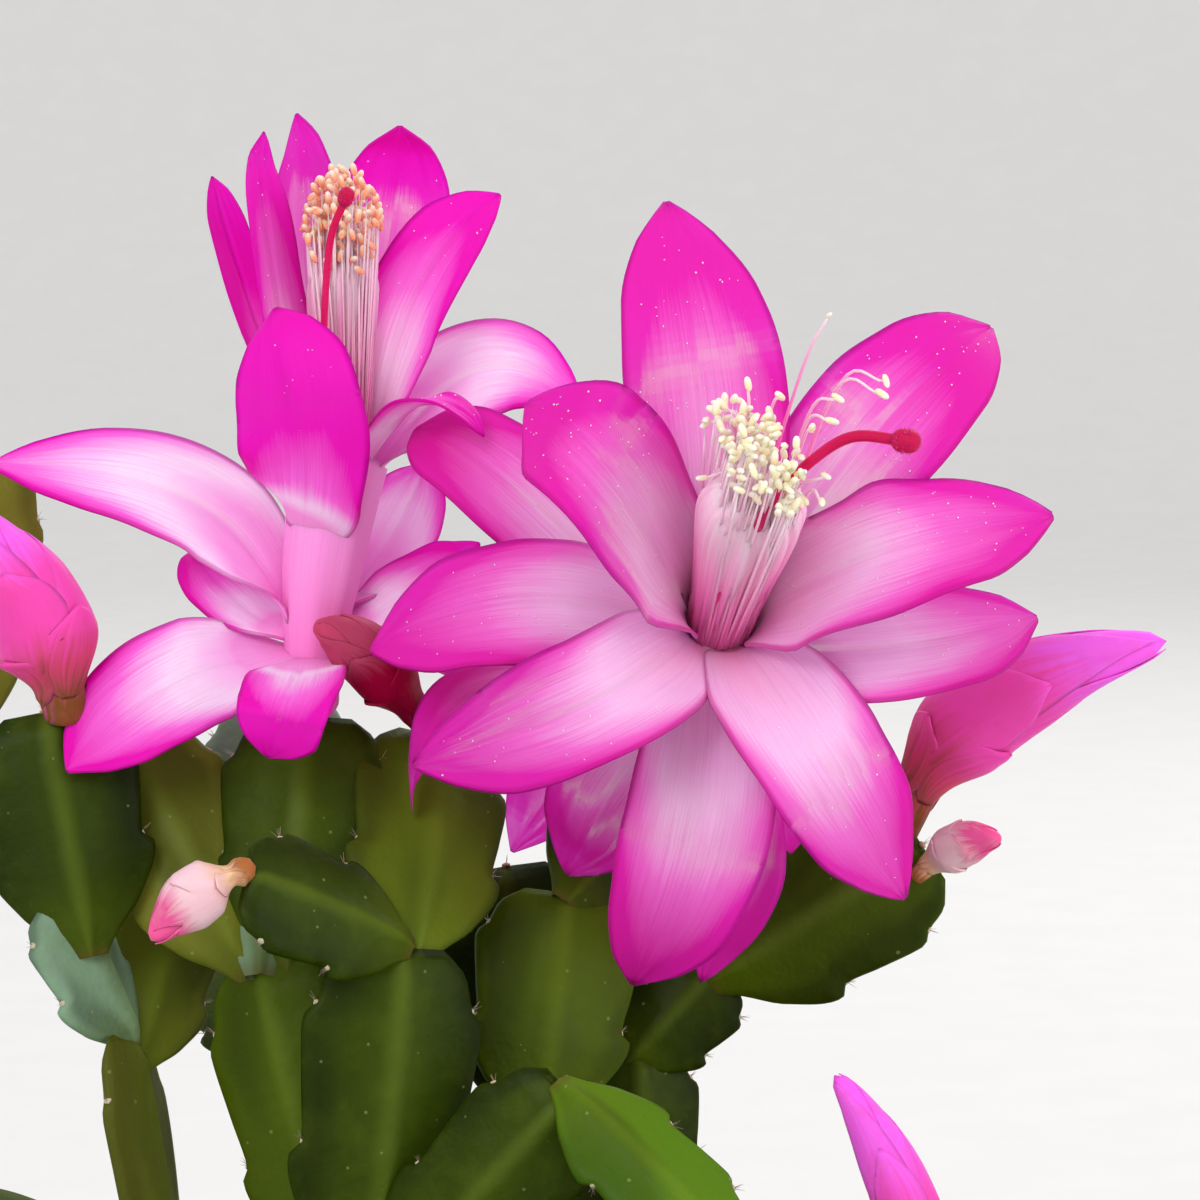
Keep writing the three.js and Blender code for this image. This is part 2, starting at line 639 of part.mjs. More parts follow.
// The flat end of a stem's numbered segment, on which a bloom or bud stands.
function endOf([name, i]) {
  const { base, tip } = stems[name][i];
  return { tip, axis: along(base, tip) };
}

function addBloom(name, shape, stand) {
  const bodies = flower({ ...shape, stand });
  add(`${name}_petals`, bodies.petals, "pink");
  add(`${name}_stamens`, bodies.stamens, "cream");
  add(`${name}_style`, bodies.style, "red");
}

add("pot", pot(), "clay");
add("soil", soil(Object.values(stems).map((segments) => segments[0].base)), "soil");
for (const [name, segments] of Object.entries(stems)) add(name, stem(segments), "green");

for (const [name, { at, base, lean, mouth, petals, anthers, style }] of Object.entries(PICTURE_BLOOMS)) {
  const places = { base: seen(base), lean: seen(lean), mouth: seen(mouth), style: style.map(seen) };
  addBloom(name, { ...places, petals: petalsSeen(petals), anthers }, endOf(at));
}
for (const [name, rule] of Object.entries(RULED_BLOOMS))
  addBloom(name, ruledBloom(endOf(rule.at), rule), endOf(rule.at));

for (const [name, [at, base, bend, tip, radius]] of Object.entries(PICTURE_BUDS))
  add(name, bud({ base: seen(base), bend: seen(bend), tip: seen(tip), radius }, endOf(at)), "rose");
for (const [name, { at, length, radius }] of Object.entries(RULED_BUDS)) {
  const end = endOf(at);
  const place = (out, up) =>
    end.tip.clone().addScaledVector(end.axis, out * length).addScaledVector(UP, up * length);
  const line = { base: place(-0.06, 0), bend: place(0.48, -0.02), tip: place(0.9, -0.14) };
  add(name, bud({ ...line, radius }, end), "rose");
}

export default plant;
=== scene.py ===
"""A potted christmas cactus in bloom, dressed over its solid frame. Tables and shapes are in mm and in pixels
of the front view. Each finished piece is brought to metres, +Z up, the front of the plant towards -Y."""

import random
from functools import partial
from math import copysign, cos, exp, hypot, pi, radians, sin, sqrt

import bmesh
import bpy
from mathutils import Matrix, Vector, noise


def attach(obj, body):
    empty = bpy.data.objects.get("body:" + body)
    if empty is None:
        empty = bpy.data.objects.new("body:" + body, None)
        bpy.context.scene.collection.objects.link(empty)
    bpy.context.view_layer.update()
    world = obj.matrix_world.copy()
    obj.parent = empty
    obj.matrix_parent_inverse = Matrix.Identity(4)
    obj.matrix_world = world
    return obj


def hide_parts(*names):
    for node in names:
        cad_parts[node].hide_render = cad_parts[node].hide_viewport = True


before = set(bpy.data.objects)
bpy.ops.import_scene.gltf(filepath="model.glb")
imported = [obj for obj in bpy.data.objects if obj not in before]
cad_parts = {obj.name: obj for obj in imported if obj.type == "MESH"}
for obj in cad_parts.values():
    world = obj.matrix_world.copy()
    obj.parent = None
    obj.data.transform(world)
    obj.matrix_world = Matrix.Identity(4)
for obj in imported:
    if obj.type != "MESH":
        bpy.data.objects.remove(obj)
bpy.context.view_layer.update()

studio = bpy.context.scene

MM = 0.001
UP = Vector((0, 0, 1))

# ---- Driving dimensions, as the frame has them ----

POT = {"height": 98, "base": 41, "shoulder": 54, "rim": 60, "lean": 0.6, "band": 22, "wall": 5, "floor": 6,
       "edge": 1.6}
DRAIN = {"radius": 5, "ring": 20, "count": 3}
SOIL = {"top": 86, "lump": 0.55, "edge_drop": 1.5, "gap": 0.3, "crumbs": 900, "crumbs_per_perlite": 11}
FOOT = {"radius": 2.3, "sunk": 6, "rise": 3.2}

# The front view: its middle pixel, the point seen there, and from how high and how far off it is seen.
MIDDLE = 600
CENTRE = Vector((10, -16, 182))
TILT = radians(5)
DISTANCE = 420
MM_PER_PIXEL = 0.09
TOWARDS = Vector((0, -cos(TILT), sin(TILT)))
UPWARDS = Vector((0, sin(TILT), cos(TILT)))


# ---- Places ----

def seen(place):
    """The point seen at a pixel of the front view, `near` mm in front of the picture plane."""
    right, down, near = place
    scale = MM_PER_PIXEL * (1 - near / DISTANCE)
    across = Vector(((right - MIDDLE) * scale, 0, 0))
    return CENTRE + across + UPWARDS * (MIDDLE - down) * scale + TOWARDS * near


def dice(seed):
    """A repeatable random draw from 0 to 1, the same as the frame's."""
    state = seed
    while True:
        state = state * 16807 % 2147483647
        yield state / 2147483647


def mix(a, b, t):
    return a + (b - a) * t


def clamp(t):
    return min(1, max(0, t))


def smooth(t):
    t = clamp(t)
    return t * t * (3 - 2 * t)


def profile(pairs, x):
    """The value at x on a smooth curve through (x, value) pairs, which rises and falls only as they do."""
    if x <= pairs[0][0]:
        return pairs[0][1]
    if x >= pairs[-1][0]:
        return pairs[-1][1]
    at = next(i for i, (end, _) in enumerate(pairs) if x <= end)

    def rise(i):
        (a, va), (b, vb) = pairs[i - 1], pairs[i]
        return (vb - va) / (b - a)

    def slope(i):
        if i == 0 or i == len(pairs) - 1:
            return rise(max(i, 1))
        before, after = rise(i), rise(i + 1)
        return 0 if before * after <= 0 else 2 * before * after / (before + after)

    (x0, v0), (x1, v1) = pairs[at - 1], pairs[at]
    reach = x1 - x0
    t = (x - x0) / reach
    return mix(v0, v1, smooth(t)) + reach * t * (1 - t) * ((1 - t) * slope(at - 1) - t * slope(at))


def square_part(axis, vector):
    return vector - axis * vector.dot(axis)


def square_to(axis, vector):
    return square_part(axis, vector).normalized()


def turned(vector, axis, angle):
    return Matrix.Rotation(angle, 3, axis) @ vector


def strewn(draw, reach):
    """A random step of up to `reach` each way."""
    return Vector([draw.uniform(-reach, reach) for _ in range(3)])


class Bend:
    """The bend from a to c that passes b half way."""

    def __init__(self, a, b, c):
        self.a, self.b, self.c = a, 2 * b - (a + c) / 2, c

    def point(self, t):
        return (1 - t) ** 2 * self.a + 2 * t * (1 - t) * self.b + t * t * self.c

    def tangent(self, t):
        return ((1 - t) * (self.b - self.a) + t * (self.c - self.b)).normalized()


class Path:
    """A smooth line through points."""

    def __init__(self, *points):
        self.points = [2 * points[0] - points[1], *points, 2 * points[-1] - points[-2]]

    def point(self, t):
        runs = len(self.points) - 3
        run = min(int(t * runs), runs - 1)
        u = t * runs - run
        a, b, c, d = self.points[run:run + 4]
        return b + 0.5 * u * (c - a + u * (2 * a - 5 * b + 4 * c - d + u * (3 * (b - c) + d - a)))

    def tangent(self, t):
        return (self.point(min(1, t + 0.01)) - self.point(max(0, t - 0.01))).normalized()


def carried(line, steps=40):
    """A guide along a line, without a twist: at(t, angle) gives its point and the way out at that angle."""
    tangent = line.tangent(0)
    sides = [tangent.orthogonal().normalized()]
    for i in range(1, steps + 1):
        ahead = line.tangent(i / steps)
        sides.append(square_to(ahead, tangent.rotation_difference(ahead) @ sides[-1]))
        tangent = ahead

    def at(t, angle):
        low = min(int(t * steps), steps - 1)
        side = square_to(line.tangent(t), sides[low].lerp(sides[low + 1], t * steps - low))
        return line.point(t), side * cos(angle) + line.tangent(t).cross(side) * sin(angle)

    return at


# ---- Pieces ----

def placed(name, data):
    """A new object in the scene."""
    thing = bpy.data.objects.new(name, data)
    studio.collection.objects.link(thing)
    return thing


def body_of(name, bm, smooth_faces=True):
    """An object of a bmesh's faces."""
    for face in bm.faces:
        face.smooth = smooth_faces
    mesh = bpy.data.meshes.new(name)
    bm.to_mesh(mesh)
    bm.free()
    return placed(name, mesh)


def spun(bm, outline, steps, weld=1e-3):
    """Turns an outline of (radius, height) pairs once round the upright axis."""
    verts = [bm.verts.new((r, 0, z)) for r, z in outline]
    edges = [bm.edges.new(pair) for pair in zip(verts, verts[1:])]
    bmesh.ops.spin(bm, geom=verts + edges, cent=(0, 0, 0), axis=(0, 0, 1), angle=2 * pi, steps=steps,
                   use_merge=True)
    bmesh.ops.remove_doubles(bm, verts=bm.verts, dist=weld)


def is_pole(t):
    """Whether t is at an end of a skin that closes there."""
    return not 1e-4 < t < 1 - 1e-4


class Piece:
    """A piece while it is made, in mm. Each point keeps its place on its part, (across, along, number), and a
    tone, from which the materials take their patterns."""

    def __init__(self):
        self.bm = bmesh.new()
        self.place = self.bm.verts.layers.float_vector.new("place")
        self.tone = self.bm.verts.layers.float.new("tone")

    def grid(self, columns, rows, surface, number, tone, mark=None):
        """A grid laid on surface(s, t), s from -1 to 1 across and t from 0 to 1 along. mark(s, t) may give
        another (across, along) for the materials, and tone may be tone(t)."""
        verts = bmesh.ops.create_grid(self.bm, x_segments=columns, y_segments=rows, size=1)["verts"]
        for v in verts:
            s, t = v.co.x, clamp((v.co.y + 1) / 2)
            v[self.place] = (*(mark(s, t) if mark else (s, t)), number)
            v[self.tone] = tone(t) if callable(tone) else tone
            v.co = surface(s, t)
        return verts

    def sheet(self, columns, rows, surface, thickness, number=0, tone=0):
        """A thin sheet that grows from a surface by its thickness."""
        verts = self.grid(columns, rows, surface, number, tone)
        faces = list({f for v in verts for f in v.link_faces})
        bmesh.ops.solidify(self.bm, geom=faces, thickness=thickness)

    def roll(self, sides, steps, skin, number=0, tone=0, mark=None):
        """A closed skin: a grid rolled round its length on skin(angle, t). An end of no width is a pole."""
        verts = self.grid(sides, steps, lambda s, t: skin(pi * s, t), number, tone, mark)
        bmesh.ops.remove_doubles(self.bm, verts=verts, dist=1e-4)

    def sweep(self, line, radius_at, sides, steps, number=0, tone=0):
        """A round body along a line, closed at its ends."""
        guide = carried(line)

        def skin(angle, t):
            centre, out = guide(t, angle)
            return centre + (0 if is_pole(t) else radius_at(t)) * out

        self.roll(sides, steps, skin, number, tone)

    def blob(self, centre, radii, direction=UP, rough=0, number=0, tone=0):
        """A small rounded grain."""
        turn = UP.rotation_difference(direction).to_matrix().to_4x4()
        verts = bmesh.ops.create_icosphere(self.bm, subdivisions=1, radius=1)["verts"]
        for v in verts:
            v[self.place] = (v.co.x, (v.co.z + 1) / 2, number)
            v[self.tone] = tone
            v.co *= 1 + rough * noise.noise(v.co * 1.7 + Vector((number * 91, 0, 0)))
        place = Matrix.Translation(centre) @ turn @ Matrix.Diagonal((*radii, 1))
        bmesh.ops.transform(self.bm, verts=verts, matrix=place)

    def pod(self, centre, radii, direction, sides, steps, number, low=0):
        """A longer rounded body with a slight waist. For the materials, it starts at `low` along its part."""
        turn = UP.rotation_difference(direction)

        def skin(angle, t):
            out = sin(pi * t) * (1 - 0.12 * sin(pi * t) ** 6)
            return centre + turn @ Vector((out * cos(angle) * radii[0], out * sin(angle) * radii[1],
                                           -cos(pi * t) * radii[2]))

        self.roll(sides, steps, skin, number, 0, lambda s, t: (s, mix(low, 1, t)))

    def hair(self, root, tip, radius, number=0):
        """A fine straight bristle with three sides."""
        turn = UP.rotation_difference((tip - root).normalized()).to_matrix().to_4x4()
        verts = bmesh.ops.create_cone(self.bm, cap_ends=True, segments=3, radius1=radius,
                                      radius2=radius * 0.2, depth=(tip - root).length)["verts"]
        for v in verts:
            v[self.place] = (0, v.co.z, number)
        bmesh.ops.transform(self.bm, verts=verts, matrix=Matrix.Translation((root + tip) / 2) @ turn)

    def made(self, name, material, slot, replaces=()):
        """Turns the piece into an object in metres that rides on the plant."""
        bmesh.ops.recalc_face_normals(self.bm, faces=self.bm.faces)
        bmesh.ops.scale(self.bm, vec=(MM, MM, MM), verts=self.bm.verts)
        piece = body_of(name, self.bm)
        piece.data.materials.append(material)
        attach(piece, "root")
        if replaces:
            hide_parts(*replaces)
        return piece


# ---- Materials ----

def linear(colour):
    """A colour for a node from its sRGB hex."""
    parts = [int(colour[i:i + 2], 16) / 255 for i in (1, 3, 5)]
    return (*(c / 12.92 if c <= 0.04045 else ((c + 0.055) / 1.055) ** 2.4 for c in parts), 1)


def feed(made, inputs):
    """Gives a node's inputs their values: numbers, a colour's hex, a socket, or a node's first output."""
    for name, value in inputs.items():
        if isinstance(value, bpy.types.Node):
            value = next(out for out in value.outputs if out.enabled)
        if isinstance(value, bpy.types.NodeSocket):
            made.id_data.links.new(value, made.inputs[name])
        else:
            made.inputs[name].default_value = linear(value) if isinstance(value, str) else value


def node(tree, kind, inputs=None, stops=(), **settings):
    """Adds a node with its settings and links."""
    made = tree.nodes.new("ShaderNode" + kind)
    for name, value in settings.items():
        setattr(made, name, value)
    for at, (place, colour) in enumerate(stops):
        element = made.color_ramp.elements[at] if at < 2 else made.color_ramp.elements.new(place)
        element.position, element.color = place, linear(colour)
    feed(made, inputs or {})
    return made


def washed(add, colour, *washes):
    """Lays washes of colour over a finish. Each has the pattern that places it, its values where the wash
    starts and where it is full, how strong it is there, and its colour."""
    for pattern, start, full, strength, shade in washes:
        reach = {"Value": pattern, "From Min": start, "From Max": full, "To Max": strength}
        share = add("MapRange", reach, interpolation_type="SMOOTHSTEP")
        colour = add("Mix", {0: share, 6: colour, 7: shade}, data_type="RGBA")
    return colour


def blank(name):
    """A new material, its shader, and the function that adds its nodes."""
    material = bpy.data.materials.new(name)
    material.use_nodes = True
    tree = material.node_tree
    return material, tree.nodes["Principled BSDF"], partial(node, tree)


def in_mm(add):
    """Object coordinates in millimetres."""
    coordinates = add("TexCoord").outputs["Object"]
    return add("Mapping", {"Vector": coordinates, "Scale": (1000, 1000, 1000)})


def on_part(add):
    """A point's place on its part, how near the margin and how far along it is, and its tone."""
    place = add("Attribute", attribute_name="place").outputs["Vector"]
    across, along, number = add("SeparateXYZ", {0: place}).outputs
    margin = add("Math", {0: across}, operation="ABSOLUTE")
    return place, margin, along, add("Attribute", attribute_name="tone").outputs["Fac"]


def drawn_out(add, place, stretch, detail=3, roughness=0.5):
    """Noise drawn out over a part. `stretch` is how fast it changes across, along and from part to part."""
    at = add("Mapping", {"Vector": place, "Scale": stretch})
    return add("TexNoise", {"Vector": at, "Scale": 1, "Detail": detail, "Roughness": roughness})


def petal_skin(name, tube, foot, pale, pink, rich, rim):
    """Petal: thin, satin and moist, so light soaks in and comes back pink. It is pale down its middle and
    magenta towards its tip and edges, with fine lengthwise veins and a darker line on its margin."""
    material, shader, add = blank(name)
    place, margin, along, tone = on_part(add)
    # The veins are 0.15 mm apart on a petal 12 mm wide, and each petal has its own.
    veins = drawn_out(add, place, (42, 2.4, 37), roughness=0.7)
    clouds = drawn_out(add, place, (1.2, 1.7, 41.3), roughness=0.6)
    edge = add("Math", {0: margin, 1: 2.8}, operation="POWER")
    reach = along
    for pattern, share in ((edge, 0.44), (veins, 0.18), (clouds, 0.2)):
        reach = add("Math", {0: pattern, 1: share, 2: reach}, operation="MULTIPLY_ADD")
    reach = add("Math", {0: reach, 1: tone}, operation="SUBTRACT")
    run = add("Math", {0: reach, 1: 0.5, 2: 0.4}, operation="MULTIPLY_ADD")
    body = add("ValToRGB", {0: run}, stops=[
        (0, tube), (0.4, foot), (0.52, foot), (0.63, pale), (0.69, pale), (0.82, pink), (0.95, rich)])
    colour = washed(add, body, (veins, 0.4, 0.75, 0.2, rich), (margin, 0.9, 1, 0.6, rim))
    feed(shader, {
        "Base Color": colour,
        "Normal": add("Bump", {"Height": veins, "Strength": 0.3, "Distance": 0.0001}),
        "Roughness": add("Math", {0: veins, 1: 0.3, 2: 0.35}, operation="MULTIPLY_ADD"),
        "IOR": 1.4, "Specular IOR Level": 0.15,
        "Subsurface Weight": 0.3, "Subsurface Radius": (1, 0.35, 0.8), "Subsurface Scale": 0.001})
    return material


def stem_skin():
    """Flat cactus stem: thick waxy skin over juicy flesh, olive to fresh green by its age, with a soft shine.
    It has a paler rib, partly its own paler green and partly a painted highlight along its ridge, dark
    lengthwise bands of painted shade, a thin dry margin, scattered pale pores and old brown scars."""
    material, shader, add = blank("waxy_cactus_stem")
    place, margin, along, tone = on_part(add)
    mm = in_mm(add)
    ages = add("ValToRGB", {0: tone}, stops=[
        (0, "#93B49C"), (0.14, "#5A7442"), (0.3, "#141E00"), (0.5, "#263400"), (0.68, "#4A5C08"),
        (0.8, "#7E7C2C"), (1, "#3C7A00")])
    mottle = add("TexNoise", {"Vector": mm, "Scale": 0.22, "Detail": 4, "Roughness": 0.6})
    # Painted shade: dark lengthwise bands on each segment, where the folds of its face would be shaded.
    shade_bands = drawn_out(add, place, (2.6, 1, 53), 1)
    # Pores are 0.1 to 0.3 mm across, about 2 mm apart.
    cells = add("TexVoronoi", {"Vector": mm, "Scale": 0.55, "Randomness": 1})
    draw = add("SeparateColor", {0: cells.outputs["Color"]})
    pores = add("Math", {0: draw, 1: -0.1, 2: cells.outputs["Distance"]}, operation="MULTIPLY_ADD")
    scars = add("TexNoise", {"Vector": mm, "Scale": 0.55, "Detail": 6, "Roughness": 0.75})
    colour = washed(
        add, ages,
        (mottle, 0.4, 0.75, 0.2, "#5E7018"),
        # painted shade in dark lengthwise bands
        (shade_bands, 0.42, 0.62, 0.5, "#101800"),
        # The paler rib: its own paler green, and a painted highlight along its ridge.
        (margin, 0.36, 0, 0.16, "#647E14"),
        (margin, 0.07, 0, 0.2, "#7E9232"),
        (along, 0.4, 0, 0.25, "#6E8410"),
        (pores, 0.03, -0.02, 0.3, "#A4B070"),
        (scars, 0.68, 0.78, 0.35, "#7E7444"),
        (margin, 0.93, 1, 0.5, "#9A8048"),
        (along, 0.06, 0, 0.5, "#5E4A20"))
    grain = add("TexNoise", {"Vector": mm, "Scale": 2.4, "Detail": 3, "Roughness": 0.6})
    waves = add("Bump", {"Height": mottle, "Strength": 0.5, "Distance": 0.0009})
    feed(shader, {
        "Base Color": colour,
        "Normal": add("Bump", {"Height": grain, "Strength": 0.3, "Distance": 0.0001, "Normal": waves}),
        "Roughness": add("Math", {0: mottle, 1: 0.35, 2: 0.3}, operation="MULTIPLY_ADD"),
        "IOR": 1.45, "Specular IOR Level": 0.08, "Coat Weight": 0.03, "Coat Roughness": 0.2,
        "Subsurface Weight": 0.08, "Subsurface Radius": (0.5, 1, 0.1), "Subsurface Scale": 0.002})
    return material


def bud_skin(name, base, scale, body, tip):
    """Bud: overlapping tender scales, tight and satin, green or cream at their foot and pink at their tip."""
    material, shader, add = blank(name)
    place, margin, along, tone = on_part(add)
    streaks = drawn_out(add, place, (9, 1, 41))
    mottle = add("TexNoise", {"Vector": in_mm(add), "Scale": 0.7, "Detail": 3})
    run = add("Math", {0: streaks, 1: 0.3, 2: tone}, operation="MULTIPLY_ADD")
    run = add("Math", {0: along, 1: 0.08, 2: run}, operation="MULTIPLY_ADD")
    body = add("ValToRGB", {0: run}, stops=[
        (0.26, base), (0.42, scale), (0.6, body), (0.82, body), (1, tip)])
    colour = washed(add, body, (margin, 0.8, 1, 0.15, tip), (mottle, 0.45, 0.75, 0.15, scale))
    feed(shader, {
        "Base Color": colour,
        "Normal": add("Bump", {"Height": streaks, "Strength": 0.3, "Distance": 0.00015}),
        "Roughness": add("Math", {0: mottle, 1: 0.3, 2: 0.25}, operation="MULTIPLY_ADD"),
        "IOR": 1.42, "Specular IOR Level": 0.1,
        "Subsurface Weight": 0.2, "Subsurface Radius": (1, 0.4, 0.5), "Subsurface Scale": 0.0015})
    return material


def thread_skin(name, foot, end, roughness, grit, turn=0.85):
    """Threads, anthers and the style: soft moist tissue, or dry meal on the anthers, with a fine grain. One
    colour at the foot turns to another at the end, by half at `turn` along it."""
    material, shader, add = blank(name)
    place, margin, along, tone = on_part(add)
    grain = add("TexNoise", {"Vector": in_mm(add), "Scale": grit, "Detail": 3})
    strands = drawn_out(add, place, (18, 0.8, 47), roughness=0.7)
    run = add("Math", {0: strands, 1: 0.5, 2: along}, operation="MULTIPLY_ADD")
    feed(shader, {
        "Base Color": washed(add, foot, (run, turn - 0.3, turn + 0.3, 1, end)),
        "Normal": add("Bump", {"Height": grain, "Strength": 0.5, "Distance": 0.0001}),
        "Roughness": roughness, "Specular IOR Level": 0.15,
        "Subsurface Weight": 0.5, "Subsurface Radius": (1, 0.5, 0.7), "Subsurface Scale": 0.0015})
    return material


def terracotta():
    """Terracotta: fired red clay, turned on a wheel and left dry and open-pored, paler where salts dry on it
    and darker where it is damp."""
    material, shader, add = blank("fired_terracotta")
    mm = in_mm(add)
    broad = add("TexNoise", {"Vector": mm, "Scale": 0.03, "Detail": 4, "Roughness": 0.6})
    salt = add("TexNoise", {"Vector": mm, "Scale": 0.055, "Detail": 8, "Roughness": 0.7})
    # Grit of 0.5 mm, drawn a little coarser than it is so that it shows.
    grit = add("TexNoise", {"Vector": mm, "Scale": 1.6, "Detail": 5, "Roughness": 0.7})
    height = add("SeparateXYZ", {0: mm}).outputs[2]
    damp = add("Math", {0: salt, 1: 56, 2: height}, operation="MULTIPLY_ADD")
    clay = add("ValToRGB", {0: broad}, stops=[(0.3, "#9C5330"), (0.5, "#B5673F"), (0.72, "#C47C53")])
    colour = washed(
        add, clay,
        (salt, 0.52, 0.75, 0.55, "#D9C2AC"),
        (grit, 0.6, 0.75, 0.45, "#7E4128"),
        (damp, 54, 30, 0.55, "#6F4A30"))
    # The ridges that the potter's fingers leave are about 1 mm apart.
    rings = add("TexNoise", {"Vector": add("CombineXYZ", {2: height}), "Scale": 0.9, "Detail": 2})
    turning = add("Bump", {"Height": rings, "Strength": 0.35, "Distance": 0.0003})
    feed(shader, {
        "Base Color": colour,
        "Normal": add("Bump", {"Height": grit, "Strength": 0.45, "Distance": 0.00025, "Normal": turning}),
        "Roughness": 0.88})
    return material


def earth():
    """Potting soil: dark peat crumbs and fibres, matt, with a few pale grains of perlite by their tone."""
    material, shader, add = blank("peat_potting_soil")
    tone = on_part(add)[-1]
    crumbs = add("TexNoise", {"Vector": in_mm(add), "Scale": 0.5, "Detail": 8, "Roughness": 0.75})
    peat = add("ValToRGB", {0: crumbs}, stops=[(0.3, "#1C130D"), (0.5, "#39281C"), (0.7, "#5B4431")])
    feed(shader, {
        "Base Color": washed(add, peat, (tone, 0, 1, 1, "#DCD6CA")),
        "Normal": add("Bump", {"Height": crumbs, "Strength": 0.8, "Distance": 0.0012}),
        "Roughness": 0.95})
    return material


STEM = stem_skin()
FRONT_PETAL = petal_skin("satin_petal", "#FF8CD2", "#FFBEEA", "#F6BEEC", "#EC66C4", "#DA1CA2", "#B00478")
SIDE_PETAL = petal_skin("lilac_petal", "#FB80CF", "#FCA2E4", "#FED6FC", "#F968D6", "#E80AB0", "#B80088")
THREADS = thread_skin("stamen_thread", "#FF6CB2", "#FFE2F0", 0.5, 1.2, 1)
POLLEN_CREAM = thread_skin("cream_pollen", "#FFF0BC", "#FFFCE4", 0.85, 5)
POLLEN_PEACH = thread_skin("peach_pollen", "#F79A74", "#FFEACC", 0.85, 5)
POLLEN_SHED = thread_skin("shed_pollen", "#FBD8EC", "#FFF4FA", 0.8, 5)
STYLE_RED = thread_skin("crimson_style", "#E6287E", "#C2064C", 0.5, 3)
BRISTLE = thread_skin("areole_bristle", "#8A6A4E", "#D8C4A8", 0.8, 4)
CLAY = terracotta()
EARTH = earth()
BUDS = {
    "pink": bud_skin("pink_bud", "#7A4A24", "#E04A74", "#FF4CB6", "#FF64EE"),
    "cream": bud_skin("cream_bud", "#A86838", "#FAC8A0", "#FFCCD8", "#F65C9E"),
    "dark": bud_skin("dark_bud", "#500824", "#84002C", "#A40038", "#C04468"),
}


# ---- Stems ----

# Half the width of a segment along its length: a narrow neck, two teeth on each side, each with a notch above
# it, and a cut-off end.
MARGIN = [(0, 0.2), (0.07, 0.34), (0.2, 0.7), (0.41, 1), (0.455, 0.88), (0.6, 0.94), (0.79, 1),
          (0.835, 0.88), (0.93, 0.76), (1, 0.48)]
NOTCHES = [0.455, 0.835]

# Half the thickness at the margin, what the flesh and the rib add to it, the rib's width in parts of half the
# segment's, how deep its face waves, its bow in parts of its length, and how far it is sunk into its carrier.
SEGMENT = {"margin": 0.5, "flesh": 0.45, "rib": 0.55, "rib_width": 0.16, "wave": 0.18, "bow": 0.03,
           "neck": 1.6}
AREOLE = {"pad": (0.45, 0.4, 0.34), "bristles": 4, "bristle_radius": 0.05}

# A row is a segment: its base and tip in the front view, its width in mm, its turn, its tone, from 0 bluish
# and 0.3 dark olive to 1 fresh green, and its fold where it is unusual. The first row stands on the foot.
PICTURE_STEMS = {
    "stem_front": ((-10, -18), [
        (None, (358, 1290, -6), 19, 6, 0.38),
        ((350, 1290, -7), (262, 962, -8), 15, -18, 0.64),
        ((364, 1290, -5), (402, 948, -3), 17, 18, 0.48),
        ((246, 962, -9), (128, 742, -16), 14.5, 8, 0.77),
        ((290, 955, -8), (310, 716, -14), 16, -6, 0.54),
        ((415, 945, -5), (438, 736, -17), 15.5, 22, 0.7),
        ((396, 942, -2.5), (245, 876, 5), 12, 35, 0.46),
        ((388, 1290, -3), (572, 1094, 2), 13.5, -8, 0.5),
        ((570, 1094, 2), (722, 1245, 9), 11, -30, 0.95),
        ((262, 962, -8), (284, 692, -25), 14.5, 0, 0.05),
    ]),
    "stem_left": ((-25, -10), [
        (None, (168, 1370, -13), 16, -14, 0.3),
        ((168, 1370, -13), (126, 1030, -11), 13, 72, 0.76),
        ((126, 1030, -11), (62, 896, -9), 12, 58, 0.05, 0.3),
        ((88, 940, -8), (44, 712, -9), 15.5, 8, 0.42),
        ((134, 1060, -13), (178, 880, -22), 12, 20, 0.74),
    ]),
    "stem_middle": ((6, -6), [
        (None, (546, 1370, -14), 17, 8, 0.3),
        ((546, 1370, -14), (538, 1115, -15), 15, -4, 0.36),
        ((538, 1115, -15), (566, 893, -18), 16, 12, 0.66),
        ((572, 893, -18), (654, 790, -27), 13, 10, 0.34),
        ((536, 1112, -18.5), (506, 866, -25), 15.5, -6, 0.3),
    ]),
    "stem_right": ((24, -12), [
        (None, (705, 1420, -24), 16, 12, 0.3),
        ((705, 1420, -24), (650, 1230, -26), 14, -12, 0.34),
        ((650, 1230, -26), (636, 1052, -25), 12, 14, 0.4),
        ((636, 1052, -25), (716, 966, -25), 11.5, 0, 0.4),
        ((722, 972, -24), (922, 845, -20), 16.5, 0, 0.58),
    ]),
    "stem_right_low": ((33, -22), [
        (None, (985, 1455, 8), 16, 10, 0.5),
    ]),
    "stem_left_back": ((-34, 9), [
        (None, (-45, 1350, -30), 15, -10, 0.4),
        ((-45, 1350, -30), (-98, 1060, -28), 13, 6, 0.5),
        ((-98, 1060, -28), (-66, 765, -27), 15, -8, 0.2),
        ((-66, 765, -27), (-14, 456, -27), 13.5, 10, 0.8),
    ]),
}

# The foot, azimuth, first and last pitch, segment lengths, width, seed and the segment that branches.
RULED_STEMS = {
    "stem_right_side": ((40, 4), 4, 62, -44, [23, 24, 23, 20], 16, 11, 1),
    "stem_right_back": ((29, 27), 34, 46, -46, [23, 25, 24], 16, 23, 1),
    "stem_back": ((8, 14), 78, 88, 48, [23, 24, 22], 17, 37, 1),
    "stem_back_left": ((-14, 20), 112, 86, 20, [24, 23, 22], 16, 47, 1),
    "stem_low_back": ((0, 40), 92, 50, -48, [21, 23, 21], 16, 29, 0),
    "stem_left_low": ((-30, 30), 140, 60, -42, [24, 25, 23], 16, 41, 1),
    "stem_left_side": ((-42, -10), 188, 60, -44, [23, 24, 22, 20], 16, 53, 1),
    "stem_front_left": ((-25, -36), 238, 58, -48, [23, 24, 22], 16, 61, 0),
    "stem_front_right": ((11, -41), 288, 56, -50, [23, 24, 22], 16, 73, 0),
}


def soil_at(x, y):
    return Vector((x, y, SOIL["top"] + FOOT["rise"]))


